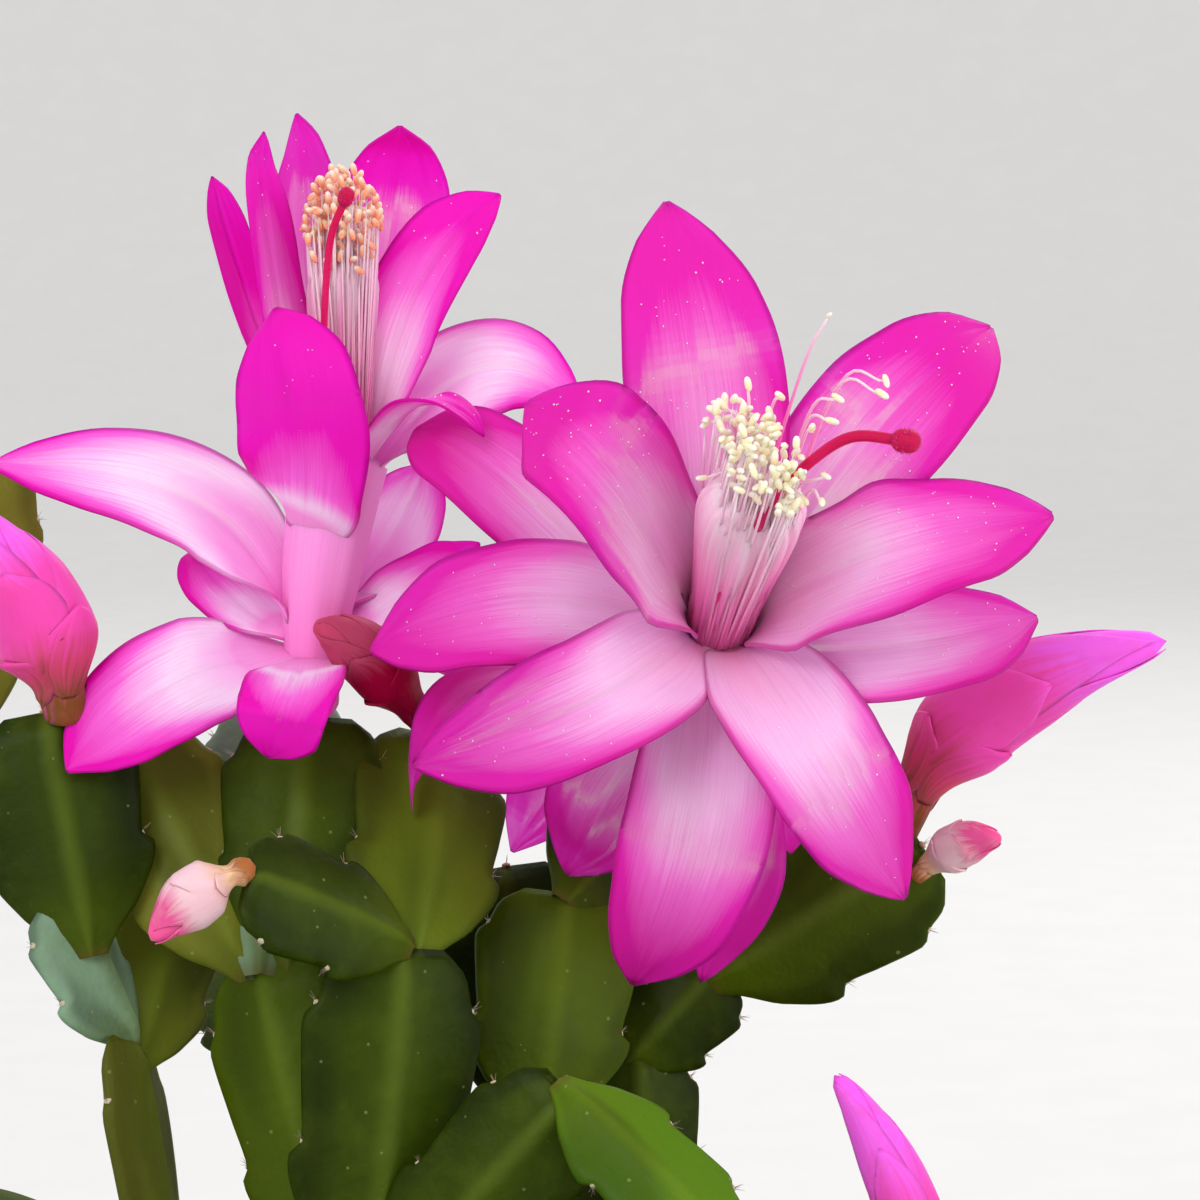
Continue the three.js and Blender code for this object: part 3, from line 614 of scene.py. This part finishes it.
def pictured(foot, rows):
    """The segments of a stem of the picture: base, tip, the side that it shows, and the rest of its row."""
    return [(seen(base) if base else soil_at(*foot), seen(tip), TOWARDS, *rest) for base, tip, *rest in rows]


def arching(foot, azimuth, rise, droop, lengths, width, seed, branch):
    """A stem laid out by rule: each segment leans further out, and a side segment grows from one tip."""
    draw = dice(seed)
    tones = random.Random(seed)

    def heading(turned_to, pitch):
        a, p = radians(turned_to), radians(pitch)
        return Vector((cos(a) * cos(p), sin(a) * cos(p), sin(p)))

    segments = []
    base, facing = soil_at(*foot), azimuth
    for i, length in enumerate(lengths):
        pitch = mix(rise, droop, i / (len(lengths) - 1))
        face = heading(facing + 180, 90 - pitch)
        tip = base + heading(facing, pitch) * length
        segments.append((base, tip, face, width * mix(0.92, 1.05, next(draw)), mix(-18, 18, next(draw)),
                         tones.uniform(0.44, 0.74)))
        if i == branch:
            swing = facing + (-1 if next(draw) < 0.5 else 1) * mix(40, 52, next(draw))
            end = tip + heading(swing, pitch - 8) * length * 0.85
            turn = mix(-20, 20, next(draw))
            segments.append((tip, end, face, width * 0.88, turn, tones.uniform(0.5, 0.86)))
        base = tip
        facing += mix(-9, 9, next(draw))
    return segments


STEMS = {name: pictured(*shape) for name, shape in PICTURE_STEMS.items()}
STEMS.update({name: arching(*rule) for name, rule in RULED_STEMS.items()})


def add_segment(piece, bristles, number, base, tip, face, width, turn, tone, fold=0.12):
    """A flat segment with a rib down its middle, and the bristles at its notches and its tip. Its broad side
    looks along `face` before it turns."""
    axis = (tip - base).normalized()
    normal = turned(square_to(axis, face), axis, radians(turn))
    side = axis.cross(normal)
    root = base - axis * SEGMENT["neck"]
    length = (tip - root).length

    def middle(s, t):
        wing = profile(MARGIN, t) * width / 2
        bow = SEGMENT["bow"] * length * sin(pi * t)
        return root + axis * t * length + side * s * wing + normal * (bow - fold * abs(s) * wing)

    def skin(angle, t):
        s, n = sin(angle), cos(angle)
        rib = SEGMENT["rib"] * exp(-(s / SEGMENT["rib_width"]) ** 2)
        body = SEGMENT["margin"] + SEGMENT["flesh"] * (1 - s * s) + rib
        half = body * copysign(min(1, 2.4 * abs(n)) ** 0.5, n) if n else 0
        ends = min(1, 0.35 + 6 * t, 12 * (1 - t))
        wave = SEGMENT["wave"] * noise.noise(Vector((2 * s, 4 * t, number * 61)))
        out = half * max(0, ends) ** 0.6 + wave * ends * (1 - s * s * 0.5)
        return middle(s, clamp(t)) + normal * out

    piece.roll(28, 36, skin, number, tone)
    draw = random.Random(int(number * 1e6))
    for s, t in [(s, t) for s in (-1, 1) for t in NOTCHES] + [(0, 1)]:
        centre = middle(s * 0.97, t)
        outward = (side * s * 0.8 + axis * 0.6).normalized() if s else axis
        bristles.blob(centre, AREOLE["pad"], outward, 0.3, draw.random())
        for _ in range(AREOLE["bristles"]):
            way = (outward + strewn(draw, 0.45)).normalized()
            end = centre + way * draw.uniform(0.7, 1.3)
            bristles.hair(centre, end, AREOLE["bristle_radius"], draw.random())


for index, (name, segments) in enumerate(STEMS.items()):
    stem = Piece()
    bristles = Piece()
    foot = segments[0][0]
    shaft = Path(foot - UP * (FOOT["rise"] + FOOT["sunk"]), foot - UP * 2, foot + UP * SEGMENT["neck"] * 2)
    stem.sweep(shaft, lambda t: FOOT["radius"] * (1 + 0.12 * sin(9 * t)), 14, 10, index * 0.013, 0.3)
    for i, segment in enumerate(segments):
        add_segment(stem, bristles, (index * 17 + i * 5) % 101 / 101, *segment)
    stem.made(name + "_skin", STEM, "stem", [name])
    bristles.made(name + "_bristles", BRISTLE, "stem")


# ---- Blooms ----

# Half the width of a petal along it, in parts of its widest, and the radius of a tube along it, in mm.
PETAL_WIDTH = [(0, 0.36), (0.07, 0.68), (0.18, 0.9), (0.5, 1), (0.75, 0.86), (0.9, 0.52), (0.97, 0.2),
               (1, 0.04)]
TUBE_RADIUS = [(0, 1.5), (0.1, 2.5), (0.2, 2.5), (0.6, 3.6), (1, 4.5)]
TUBE = {"wall": 1.5, "lip": 0.97, "opening": 0.9, "flutes": 0.03}
PETAL = {"thickness": 0.3, "cup": 0.12, "ragged": 0.035, "furrow": 0.35, "pleats": 0.16, "curl": 0.8}
BUNCH_RADIUS = 3.4
THREAD_RADIUS = 0.2
ANTHER_RADII = Vector((0.36, 0.3, 0.68))
STYLE_RADIUS = 0.5
STIGMA = {"club": Vector((1.15, 1.15, 1.3)), "hairs": 160, "hair": 0.2, "hair_radius": 0.06}

# The petals of the picture's blooms: where each leaves the tube, its bend, tip and width, how far it turns in
# degrees, how far its pale heart reaches, and how much its edges wave where that is unusual.
FRONT_PETALS = [
    (0.96, (705, 395, 9), (666, 208, 4), 14.6, 0, -0.1),
    (0.94, (874, 430, 8), (993, 324, 0), 13.4, 0, -0.12, 0.04),
    (0.96, (880, 550, 13), (1046, 518, 4), 12.2, 0, 0.06, 0.09),
    (0.86, (880, 645, 4), (1040, 616, -5), 11.2, 0, 0.2, 0.04),
    (0.96, (818, 752, 9), (900, 890, -2), 12.6, 0, 0.12),
    (0.88, (695, 835, 4), (632, 985, -7), 13.2, 0, 0.02),
    (0.96, (590, 700, 10), (420, 762, 0), 12, 0, 0.05, 0.04),
    (0.9, (530, 602, 3), (368, 648, -4), 12.6, 0, 0, 0.04),
    (0.96, (622, 480, 18), (533, 408, 14), 14.6, 0, -0.06),
    (0.72, (520, 490, -5), (413, 426, -12), 11.5, 0, -0.05),
    (0.6, (612, 790, -9), (572, 866, -14), 11.5, 0, -0.05),
    (0.6, (480, 690, -7), (408, 810, -9), 8.5, 28, -0.2),
    (0.66, (740, 850, -9), (700, 972, -15), 8.6, 0, -0.15),
    (0.5, (778, 780, -15), (794, 852, -17), 7, 0, -0.35),
]
SIDE_PETALS = [
    (0.42, (190, 496, -14), (-8, 468, -14), 10.2, -66, 0.32, 0.02),
    (0.36, (226, 590, -18), (194, 548, -21), 7, -40, 0, 0.02),
    (0.3, (172, 684, -9), (70, 772, -6), 12, -54, 0.12, 0.02),
    (0.28, (288, 698, -2), (266, 757, -4), 9.6, 0, -0.2),
    (0.4, (415, 585, -16), (480, 548, -18), 7, 50, 0),
    (0.5, (394, 530, -22), (424, 462, -25), 8, 40, 0.3, 0.02),
    (0.72, (300, 425, -5), (272, 304, -7), 12.6, 34, -0.4),
    (0.95, (420, 398, -6), (486, 432, -4), 5, 12, -0.1, 0.06),
    (0.9, (475, 370, -16), (576, 404, -18), 9.6, 66, 0.25, 0.02),
    (0.94, (412, 292, -13), (500, 192, -15), 9.4, 52, -0.12),
    (0.95, (385, 265, -24), (400, 122, -22), 12, 0, -0.15),
    (0.95, (310, 270, -24), (299, 114, -23), 12.4, 12, -0.1, 0.05),
    (0.94, (277, 275, -14), (257, 134, -16), 8, -20, -0.15),
    (0.9, (246, 285, -21), (214, 176, -22), 5.5, -20, -0.4),
]


def add_petal(piece, tube, number, start, bend, tip, width, turn, heart, wave=0.03):
    """A petal from the tube's wall through its bend to its tip, and the surface that it follows."""
    axis = tube.tangent(start)
    radial = square_to(axis, tip - tube.point(start))
    # A petal of the mouth's ring stands at the lip's inner edge, a lower one on the tube's outside.
    hold = profile(TUBE_RADIUS, start) - TUBE["wall"] * mix(0.3, 1, smooth((start - 0.7) / 0.15))
    line = Bend(tube.point(start) + radial * hold, bend, tip)
    across = radial.cross(axis)

    def surface(s, t):
        tangent = line.tangent(t)
        side = turned(square_to(tangent, across), tangent, radians(turn * min(1, 0.3 + 2 * t)))
        half = profile(PETAL_WIDTH, t) * width / 2
        ragged = 1 + PETAL["ragged"] * noise.noise(Vector((6 * t, 3 * s, number * 77)))
        ruffle = wave * half * s * s * sin(15 * t + 40 * number + 2 * s) * smooth(3 * t)
        furrow = -PETAL["furrow"] * exp(-(s / 0.1) ** 2) * smooth(4 * t) * smooth(3 - 3 * t)
        pleats = PETAL["pleats"] * noise.noise(Vector((7 * s, 1.1 * t, number * 31)))
        curl = PETAL["curl"] * smooth((t - 0.88) * 8) * (1 if number % 0.2 < 0.1 else -0.4)
        cup = PETAL["cup"] * half * (s * s - 0.4)
        rise = cup + ruffle + (furrow + pleats) * (1 - abs(s) ** 3) + curl
        free = side * s * half * ragged + side.cross(tangent) * rise
        # At its foot it lies round the tube.
        round_it = s * half / hold
        hug = side * hold * sin(round_it) - radial * hold * (1 - cos(round_it))
        return line.point(t) + hug.lerp(free, smooth(t / 0.22))

    # At its foot it also has the tone of the tube that it leaves.
    piece.sheet(16, 34, surface, PETAL["thickness"], number, lambda t: mix(1 - start, heart, smooth(4 * t)))
    return surface


def add_thread(threads, anthers, foot, spoke, mouth, bend, end, size, number, fine):
    """A stamen: a fine thread up the bunch and out through the mouth, and the anther across its end."""
    draw = random.Random(int(number * 1e6))
    line = Path(*(point for point in (foot + spoke * 0.8, mouth + spoke, bend, end) if point))
    threads.sweep(line, lambda t: THREAD_RADIUS * fine * mix(1.2, 0.6, t), 5, 22 if bend else 12, number)
    lean = (line.tangent(1) + strewn(draw, 0.9)).normalized()
    anthers.pod(end, ANTHER_RADII * fine * size, lean, 6, 6, number)


def add_flower(name, base, lean, mouth, petals, ends, style, skin, pollen, fine=1):
    """A bloom in four pieces: tube and petals, threads, anthers, and style with its stigma."""
    tube = Bend(base, lean, mouth)
    axis = tube.tangent(1)
    floor = tube.point(TUBE["opening"])
    body, threads, anthers, pistil = Piece(), Piece(), Piece(), Piece()
    guide = carried(tube)

    def along_tube(q):
        """How far along the tube, and whether inside: out along the wall, over the lip and back down."""
        if q < 0.6:
            return TUBE["lip"] * q / 0.6, 0
        return mix(TUBE["lip"], TUBE["opening"], (q - 0.6) / 0.4), 1

    def wall(angle, q):
        t, inside = along_tube(q)
        centre, out = guide(t, angle)
        radius = profile(TUBE_RADIUS, t) * (1 + TUBE["flutes"] * cos(8 * angle)) - inside * TUBE["wall"]
        return centre + (0 if is_pole(q) else radius) * out

    def mark(s, q):
        t, inside = along_tube(q)
        return 0.4 * sin(4 * pi * s), -0.3 if inside else t - 1

    body.roll(32, 60, wall, 0.5, 0, mark)
    surfaces = [add_petal(body, tube, (i * 29 + 7) % 97 / 97, *petal) for i, petal in enumerate(petals)]

    # The threads stand in a close bunch through the mouth, in the order of their anthers, round a pleated
    # cone of threads grown together, which ends under the anthers.
    bunch = BUNCH_RADIUS * fine
    middle = sum((end for _, end, _ in ends), Vector()) / len(ends)
    spreads = sorted(square_part(axis, end - middle).length for _, end, _ in ends)
    widest, usual = spreads[-1], spreads[len(ends) * 17 // 20]
    core = carried(Path(floor, mouth, mouth.lerp(middle, 0.42), mouth.lerp(middle, 0.84)))

    def cone(angle, t):
        centre, out = core(t, angle)
        pleats = 0.16 * noise.noise(Vector((9 * cos(angle), 9 * sin(angle), 1.4 * t)))
        closed = sqrt(max(0, 1 - (2 * t - 1) ** 10))
        radius = mix(bunch * mix(0.75, 0.93, min(1, 3 * t)), usual, 0.75 * smooth(1.5 * t - 0.5))
        return centre + out * (radius + pleats * bunch) * closed

    threads.roll(96, 40, cone, 0.4, 0, lambda s, t: (s, mix(0.2, 0.9, t)))
    for i, (bend, end, size) in enumerate(ends):
        spoke = square_part(axis, end - middle)
        spoke *= bunch * mix(0.85, 1.05, spoke.length / widest) / spoke.length
        number = (i * 37 + 11) % 211 / 211
        add_thread(threads, anthers, floor, spoke, mouth, bend, end, size, number, fine)

    path = Path(floor, tube.point(0.94), *style)
    pistil.sweep(path, lambda t: STYLE_RADIUS * fine * (0.8 + 0.2 * t), 10, 60, 0.2)
    ahead = path.tangent(1)
    club = STIGMA["club"] * fine
    pistil.pod(style[-1], club, ahead, 24, 14, 0.9, 0.8)
    draw = random.Random(7)
    turn = UP.rotation_difference(ahead)
    for _ in range(STIGMA["hairs"]):
        out = Vector([draw.gauss(0, 1) for _ in range(3)]).normalized()
        root = style[-1] + turn @ Vector(a * b * 0.9 for a, b in zip(out, club))
        pistil.hair(root, root + (turn @ out) * STIGMA["hair"] * fine, STIGMA["hair_radius"] * fine, 0.9)

    body.made(name + "_corolla", skin, "petal", [name + "_petals"])
    threads.made(name + "_threads", THREADS, "stamen", [name + "_stamens"])
    anthers.made(name + "_anthers", pollen, "stamen")
    pistil.made(name + "_pistil", STYLE_RED, "style", [name + "_style"])
    return surfaces


def add_grains(name, petals, count, seed):
    """Pollen shed on the faces of some petals."""
    draw = random.Random(seed)
    grains = Piece()
    for surface in petals:
        for _ in range(count):
            s, t = draw.uniform(-0.85, 0.85), draw.uniform(0.12, 0.95)
            here = surface(s, t)
            out = (surface(s + 0.02, t) - here).cross(surface(s, t + 0.01) - here).normalized()
            size = draw.uniform(0.04, 0.1)
            grains.blob(here + out * size * 0.6, (size, size, size), out, 0.6, draw.random())
    grains.made(name + "_grains", POLLEN_SHED, "stamen")


def cloud(middle, spread, count, seed, size=1):
    """Anthers of one size strewn in a flat round cloud of the front view."""
    draw = random.Random(seed)
    ends = []
    for _ in range(count):
        angle, out = draw.uniform(0, 2 * pi), sqrt(draw.random())
        place = (out * cos(angle), out * sin(angle), draw.uniform(-1, 1))
        ends.append((None, seen([m + s * p for m, s, p in zip(middle, spread, place)]), size))
    return ends


# Threads that stand out of the cloud: bend, anther and the anther's size. The longest has lost its anther.
LONG_STAMENS = [
    ((800, 375, 16), (829, 315, 22), 0.6), ((836, 390, 24), (886, 381, 29), 1),
    ((832, 396, 25), (882, 394, 30), 1), ((806, 420, 22), (838, 398, 28), 1),
    ((790, 500, 20), (826, 476, 28), 1), ((802, 432, 22), (832, 421, 28), 1),
    ((736, 440, 16), (706, 420, 20), 1.1), ((740, 430, 16), (714, 410, 21), 1.1),
    ((746, 430, 18), (748, 384, 22), 1), ((768, 420, 18), (780, 396, 22), 1),
    ((738, 480, 16), (702, 478, 20), 0.9), ((742, 440, 17), (722, 404, 21), 1),
    ((800, 450, 22), (812, 428, 27), 1), ((804, 500, 22), (822, 502, 27), 0.9),
]


def pictured_bloom(name, tube, rows, ends, style, *looks):
    """A bloom of the picture. Its tube, petals and style are pixels of the front view."""
    petals = [(start, seen(bend), seen(tip), *rest) for start, bend, tip, *rest in rows]
    return add_flower(name, *map(seen, tube), petals, ends, list(map(seen, style)), *looks)


front_petals = pictured_bloom(
    "bloom_front", ((648, 800, -27), (690, 715, -20), (722, 612, -4)), FRONT_PETALS,
    cloud((738, 424, 22), (36, 26, 4), 40, 5) + cloud((764, 462, 26), (40, 38, 5), 90, 6)
    + cloud((788, 492, 25), (17, 28, 4), 44, 7) + [(seen(b), seen(e), size) for b, e, size in LONG_STAMENS],
    ((712, 606, 3.4), (745, 555, 14.8), (769, 505, 23.4), (808, 464, 27), (852, 437, 30), (906, 441, 32)),
    FRONT_PETAL, POLLEN_CREAM)
add_grains("bloom_front", [front_petals[i] for i in (0, 0, 1, 1, 2, 2, 3, 4, 6, 7, 8, 8)], 32, 13)
side_petals = pictured_bloom(
    "bloom_side", ((312, 722, -13.5), (318, 600, -14), (344, 440, -14)), SIDE_PETALS,
    cloud((342, 222, -14), (38, 56, 4), 250, 9, 1.3), ((324, 380, -10), (329, 250, -6), (346, 197, -5)),
    SIDE_PETAL, POLLEN_PEACH, 0.72)
add_grains("bloom_side", [side_petals[i] for i in (6, 7, 9, 10, 11, 12)], 16, 14)


def end_of(name):
    """The tip of a stem's last segment, and the way it points."""
    base, tip = STEMS[name][-1][:2]
    return tip, (tip - base).normalized()


def ruled_bloom(name, stem, towards, size, seed):
    """A bloom laid out by rule on a stem's tip: inner petals open round its mouth, outer ones bend back."""
    tip, axis = end_of(stem)
    draw = dice(seed)
    lean = tip + axis * 9 * size
    facing = Vector(towards).normalized()
    mouth = lean + facing * 11 * size
    tube = Bend(tip, lean, mouth)
    upright = square_to(facing, UP)

    def ring(start, count, first, bend, end, width, heart):
        """Petals round the tube. bend and end are how far out and how far ahead each bends and ends."""
        rows = []
        for i in range(count):
            centre = tube.point(start)
            angle = first + 2 * pi * (i + mix(-0.08, 0.08, next(draw))) / count
            radial = turned(upright, facing, angle)
            long = mix(0.93, 1.06, next(draw))
            rows.append((start, centre + (radial * bend[0] + facing * bend[1]) * size,
                         centre + (radial * end[0] * long + facing * end[1]) * size, width * size, 0, heart))
        return rows

    petals = ring(0.95, 5, 0, (13, 8), (27, 3), 12.5, 0) + ring(0.6, 3, 0.6, (13, 1), (23, -6), 11, 0.05)
    spread = random.Random(seed)
    ends = []
    for _ in range(60):
        side = turned(upright, facing, spread.uniform(0, 2 * pi)) * 5 * sqrt(spread.random())
        ends.append((None, mouth + facing * spread.uniform(18, 25) * size + side, 1))
    style = [mouth + facing * out * size + UP * 1.5 * i for i, out in enumerate((12, 24, 31))]
    add_flower(name, tip - axis, lean, mouth, petals, ends, style, FRONT_PETAL, POLLEN_CREAM)


ruled_bloom("bloom_back", "stem_back", (0.15, 0.8, 0.55), 0.94, 17)
ruled_bloom("bloom_low", "stem_right_back", (0.75, 0.4, -0.25), 0.9, 31)


# ---- Buds ----

# The radius of a bud along its length, in parts of its widest. A young one has a foot like a bead on a neck.
BUD_RADIUS = [(0, 0.36), (0.1, 0.46), (0.2, 0.5), (0.42, 1), (0.62, 0.95), (0.84, 0.58), (0.96, 0.3),
              (1, 0.12)]
YOUNG_RADIUS = [(0, 0.26), (0.12, 0.5), (0.2, 0.34), (0.42, 0.95), (0.58, 1), (0.84, 0.55), (0.96, 0.28),
                (1, 0.12)]

# The scales of a bud: where each starts and ends along it, half the angle it covers and its place round it.
SCALES = [
    (0.1, 0.36, 1.2, 0.3), (0.12, 0.4, 1.2, 2.5), (0.16, 0.5, 1.2, 4.4), (0.18, 0.62, 1.2, 1.4),
    (0.2, 0.72, 1.2, 3.4), (0.2, 0.84, 1.3, 5.6), (0.22, 0.93, 1.3, 0.9), (0.24, 0.98, 1.3, 3),
    (0.26, 0.995, 1.3, 5.1),
]
SCALE_WIDTH = [(0, 0.3), (0.15, 0.8), (0.4, 1), (0.75, 0.75), (1, 0.03)]
SCALE_THICKNESS = 0.12

# Base, bend and tip in the front view, radius and colours.
PICTURE_BUDS = {
    "bud_right": ((897, 844, -20), (984, 712, -17), (1167, 641, -13), 4.7, "pink"),
    "bud_right_small": ((913, 880, -19), (958, 846, -16), (1001, 840, -13), 2.2, "cream"),
    "bud_left_small": ((256, 866, 5), (198, 894, 6), (151, 941, 7), 2.8, "cream", YOUNG_RADIUS),
    "bud_left": ((64, 728, -9), (40, 622, -8), (-40, 505, -8), 4.9, "pink"),
    "bud_dark": ((437, 742, -17), (374, 662, -11), (314, 626, -6.5), 3.1, "dark"),
    "bud_right_low": ((988, 1468, 8), (915, 1225, 8), (834, 1075, 6), 3, "pink"),
}
# The stem that carries each, its length and its radius.
RULED_BUDS = {"bud_side": ("stem_left_low", 22, 3.6), "bud_back": ("stem_low_back", 17, 2.9)}


def add_bud(name, base, bend, tip, radius, skin, outline=BUD_RADIUS):
    """A bud: its closed body and the scales that overlap round it."""
    line = Bend(base, bend, tip)
    piece = Piece()
    guide = carried(line)

    piece.sweep(line, lambda t: profile(outline, t) * radius * 0.9, 24, 32, 0.1)
    for k, (start, end, spread, middle) in enumerate(SCALES):
        above = 1 - k / len(SCALES)

        def surface(s, t):
            along = mix(start, end, t)
            centre, out = guide(along, middle + 0.5 * t + s * spread * profile(SCALE_WIDTH, t))
            layer = 0.1 * above * (1 - s * s * 0.7) * smooth(5 * t)
            rest = profile(outline, along) * radius * (0.9 + 0.04 * smooth(5 * t) + layer)
            return centre + (rest + 0.1 * radius * smooth(4 * t - 3) * above) * out

        piece.sheet(12, 24, surface, SCALE_THICKNESS, (k * 31 + 3) % 89 / 89)
    for v in piece.bm.verts:
        v[piece.tone] = clamp((v.co - base).dot(tip - base) / (tip - base).length_squared)
    piece.made(name + "_scales", BUDS[skin], "bud", [name])


for name, (base, bend, tip, *rest) in PICTURE_BUDS.items():
    add_bud(name, seen(base), seen(bend), seen(tip), *rest)
for name, (stem, length, radius) in RULED_BUDS.items():
    tip, axis = end_of(stem)
    hang = ((-0.06, 0), (0.48, -0.02), (0.9, -0.14))
    places = [tip + axis * out * length + UP * up * length for out, up in hang]
    add_bud(name, *places, radius, "pink")


# ---- Pot and soil ----

def pot_inside(z):
    return mix(POT["base"], POT["rim"], (z - POT["floor"]) / (POT["height"] - POT["floor"])) - POT["wall"]


def rounded(corners, radius, steps=4):
    """An outline with each inner corner rounded."""
    out = [corners[0]]
    for before, here, after in zip(corners, corners[1:], corners[2:]):
        here, ends = Vector(here), []
        for other in (Vector(before), Vector(after)):
            reach = min(radius, (other - here).length * 0.45)
            ends.append(here + (other - here).normalized() * reach)
        for i in range(steps + 1):
            t = i / steps
            out.append(tuple((1 - t) ** 2 * ends[0] + 2 * t * (1 - t) * here + t * t * ends[1]))
    return out + [corners[-1]]


def make_pot():
    """The pot, turned from its outline, and the drain holes that are drilled through its floor."""
    height, base, shoulder, rim, lean, band, wall, floor, edge = POT.values()
    low = height - band
    corners = [(0, 0), (base, 0), (shoulder, low), (rim, low), (rim + lean, height), (rim - wall, height),
               (base - wall, floor), (0, floor)]
    piece = Piece()
    spun(piece.bm, rounded(corners, edge), 96)
    pot = piece.made("pot_clay", CLAY, "terracotta", ["pot"])
    radius = DRAIN["radius"] * MM
    for i in range(DRAIN["count"]):
        angle = 2 * pi * (i + 0.5) / DRAIN["count"]
        spot = (DRAIN["ring"] * cos(angle), DRAIN["ring"] * sin(angle), floor / 2)
        cutter = bmesh.new()
        bmesh.ops.create_cone(cutter, cap_ends=True, segments=32, radius1=radius, radius2=radius,
                              depth=30 * MM, matrix=Matrix.Translation([c * MM for c in spot]))
        drill = body_of("drain", cutter, smooth_faces=False)
        cut = pot.modifiers.new("drain", "BOOLEAN")
        cut.object, cut.operation, cut.solver = drill, "DIFFERENCE", "EXACT"
        with bpy.context.temp_override(object=pot, active_object=pot, selected_objects=[pot]):
            bpy.ops.object.modifier_apply(modifier=cut.name)
        bpy.data.objects.remove(drill)


def ground(x, y):
    """The height of the soil."""
    lump = sin(0.31 * x + 1.3) * sin(0.27 * y) + sin(0.16 * (x + y))
    edge = pot_inside(SOIL["top"])
    near_wall = smooth((hypot(x, y) / edge - 0.8) / 0.2)
    fine = noise.noise(Vector((x, y, 0)) * 0.35) * 0.5 + noise.noise(Vector((x, y, 7)) * 0.9) * 0.25
    return SOIL["top"] + SOIL["lump"] * lump * (1 - near_wall) + fine - SOIL["edge_drop"] * near_wall


def make_soil():
    """The soil, with its crumbs and the pale perlite among them."""
    piece = Piece()
    gap = SOIL["gap"]
    bottom, shore = POT["floor"] + gap, SOIL["top"] - SOIL["edge_drop"]
    reach = pot_inside(shore) - gap
    outline = [(0, bottom), (pot_inside(bottom) - gap, bottom), (reach, shore)]
    outline += [(reach * (1 - i / 36), SOIL["top"]) for i in range(1, 37)]
    spun(piece.bm, outline, 90)
    for v in piece.bm.verts:
        if v.co.z > SOIL["top"] - 1:
            v.co.z = ground(v.co.x, v.co.y)
    draw = random.Random(3)
    for i in range(SOIL["crumbs"]):
        angle, out = draw.uniform(0, 2 * pi), reach * 0.96 * sqrt(draw.random())
        x, y = out * cos(angle), out * sin(angle)
        perlite = i % SOIL["crumbs_per_perlite"] == 0
        size = draw.uniform(0.5, 1.5)
        radii = (size, size * draw.uniform(0.6, 1), size * draw.uniform(0.5, 0.9))
        lean = strewn(draw, 1).normalized()
        piece.blob(Vector((x, y, ground(x, y) + 0.2 * size)), radii, lean, 0.5, draw.random(), 0.9 * perlite)
    piece.made("soil_crumbs", EARTH, "soil", ["soil"])


make_pot()
make_soil()


# ---- Floor, light and camera, in metres ----

def pale_floor(flat=2.2, sweep=1.2):
    """A pale matt studio floor that sweeps up all round."""
    material, shader, add = blank("pale_paper")
    coordinates = add("TexCoord").outputs["Object"]
    fibre = add("TexNoise", {"Vector": coordinates, "Scale": 40, "Detail": 3})
    paper = washed(add, "#E9E8E6", (fibre, 0.3, 0.7, 1, "#EBEAE8"))
    feed(shader, {"Base Color": paper, "Roughness": 0.9})
    turns = [radians(9 * i) for i in range(1, 11)]
    outline = [(0, 0), (flat, 0)] + [(flat + sweep * sin(a), sweep - sweep * cos(a)) for a in turns]
    bm = bmesh.new()
    spun(bm, outline, 96, 1e-5)
    bmesh.ops.recalc_face_normals(bm, faces=bm.faces)
    floor = body_of("floor", bm)
    floor.data.materials.append(material)


def soft_light(name, place, height, size, watts):
    """A round soft lamp that looks at a height over the pot's middle."""
    data = bpy.data.lights.new(name, "AREA")
    data.shape, data.size, data.energy = "DISK", size, watts
    light = placed(name, data)
    light.location = place
    light.rotation_euler = (Vector((0, 0, height)) - Vector(place)).to_track_quat("-Z", "Y").to_euler()


pale_floor()
soft_light("key", (-0.6, -1.4, 1.1), 0.15, 0.9, 10.5)
soft_light("fill", (1.4, -0.9, 0.6), 0.15, 1.2, 8)
soft_light("back", (0.6, 1.3, 1.2), 0.17, 0.9, 7)

world = bpy.data.worlds.new("studio")
studio.world = world
world.use_nodes = True
feed(world.node_tree.nodes["Background"], {"Color": "#F6F6F8", "Strength": 0.86})

camera_data = bpy.data.cameras.new("camera")
camera_data.sensor_fit = "HORIZONTAL"
camera_data.sensor_width = 36
camera_data.lens = camera_data.sensor_width * DISTANCE / (2 * MIDDLE * MM_PER_PIXEL)
camera_data.clip_start, camera_data.clip_end = 0.01, 20
camera = placed("camera", camera_data)
camera.location = (CENTRE + TOWARDS * DISTANCE) * MM
camera.rotation_euler = (-TOWARDS).to_track_quat("-Z", "Y").to_euler()
studio.camera = camera
studio.view_settings.view_transform = "Standard"
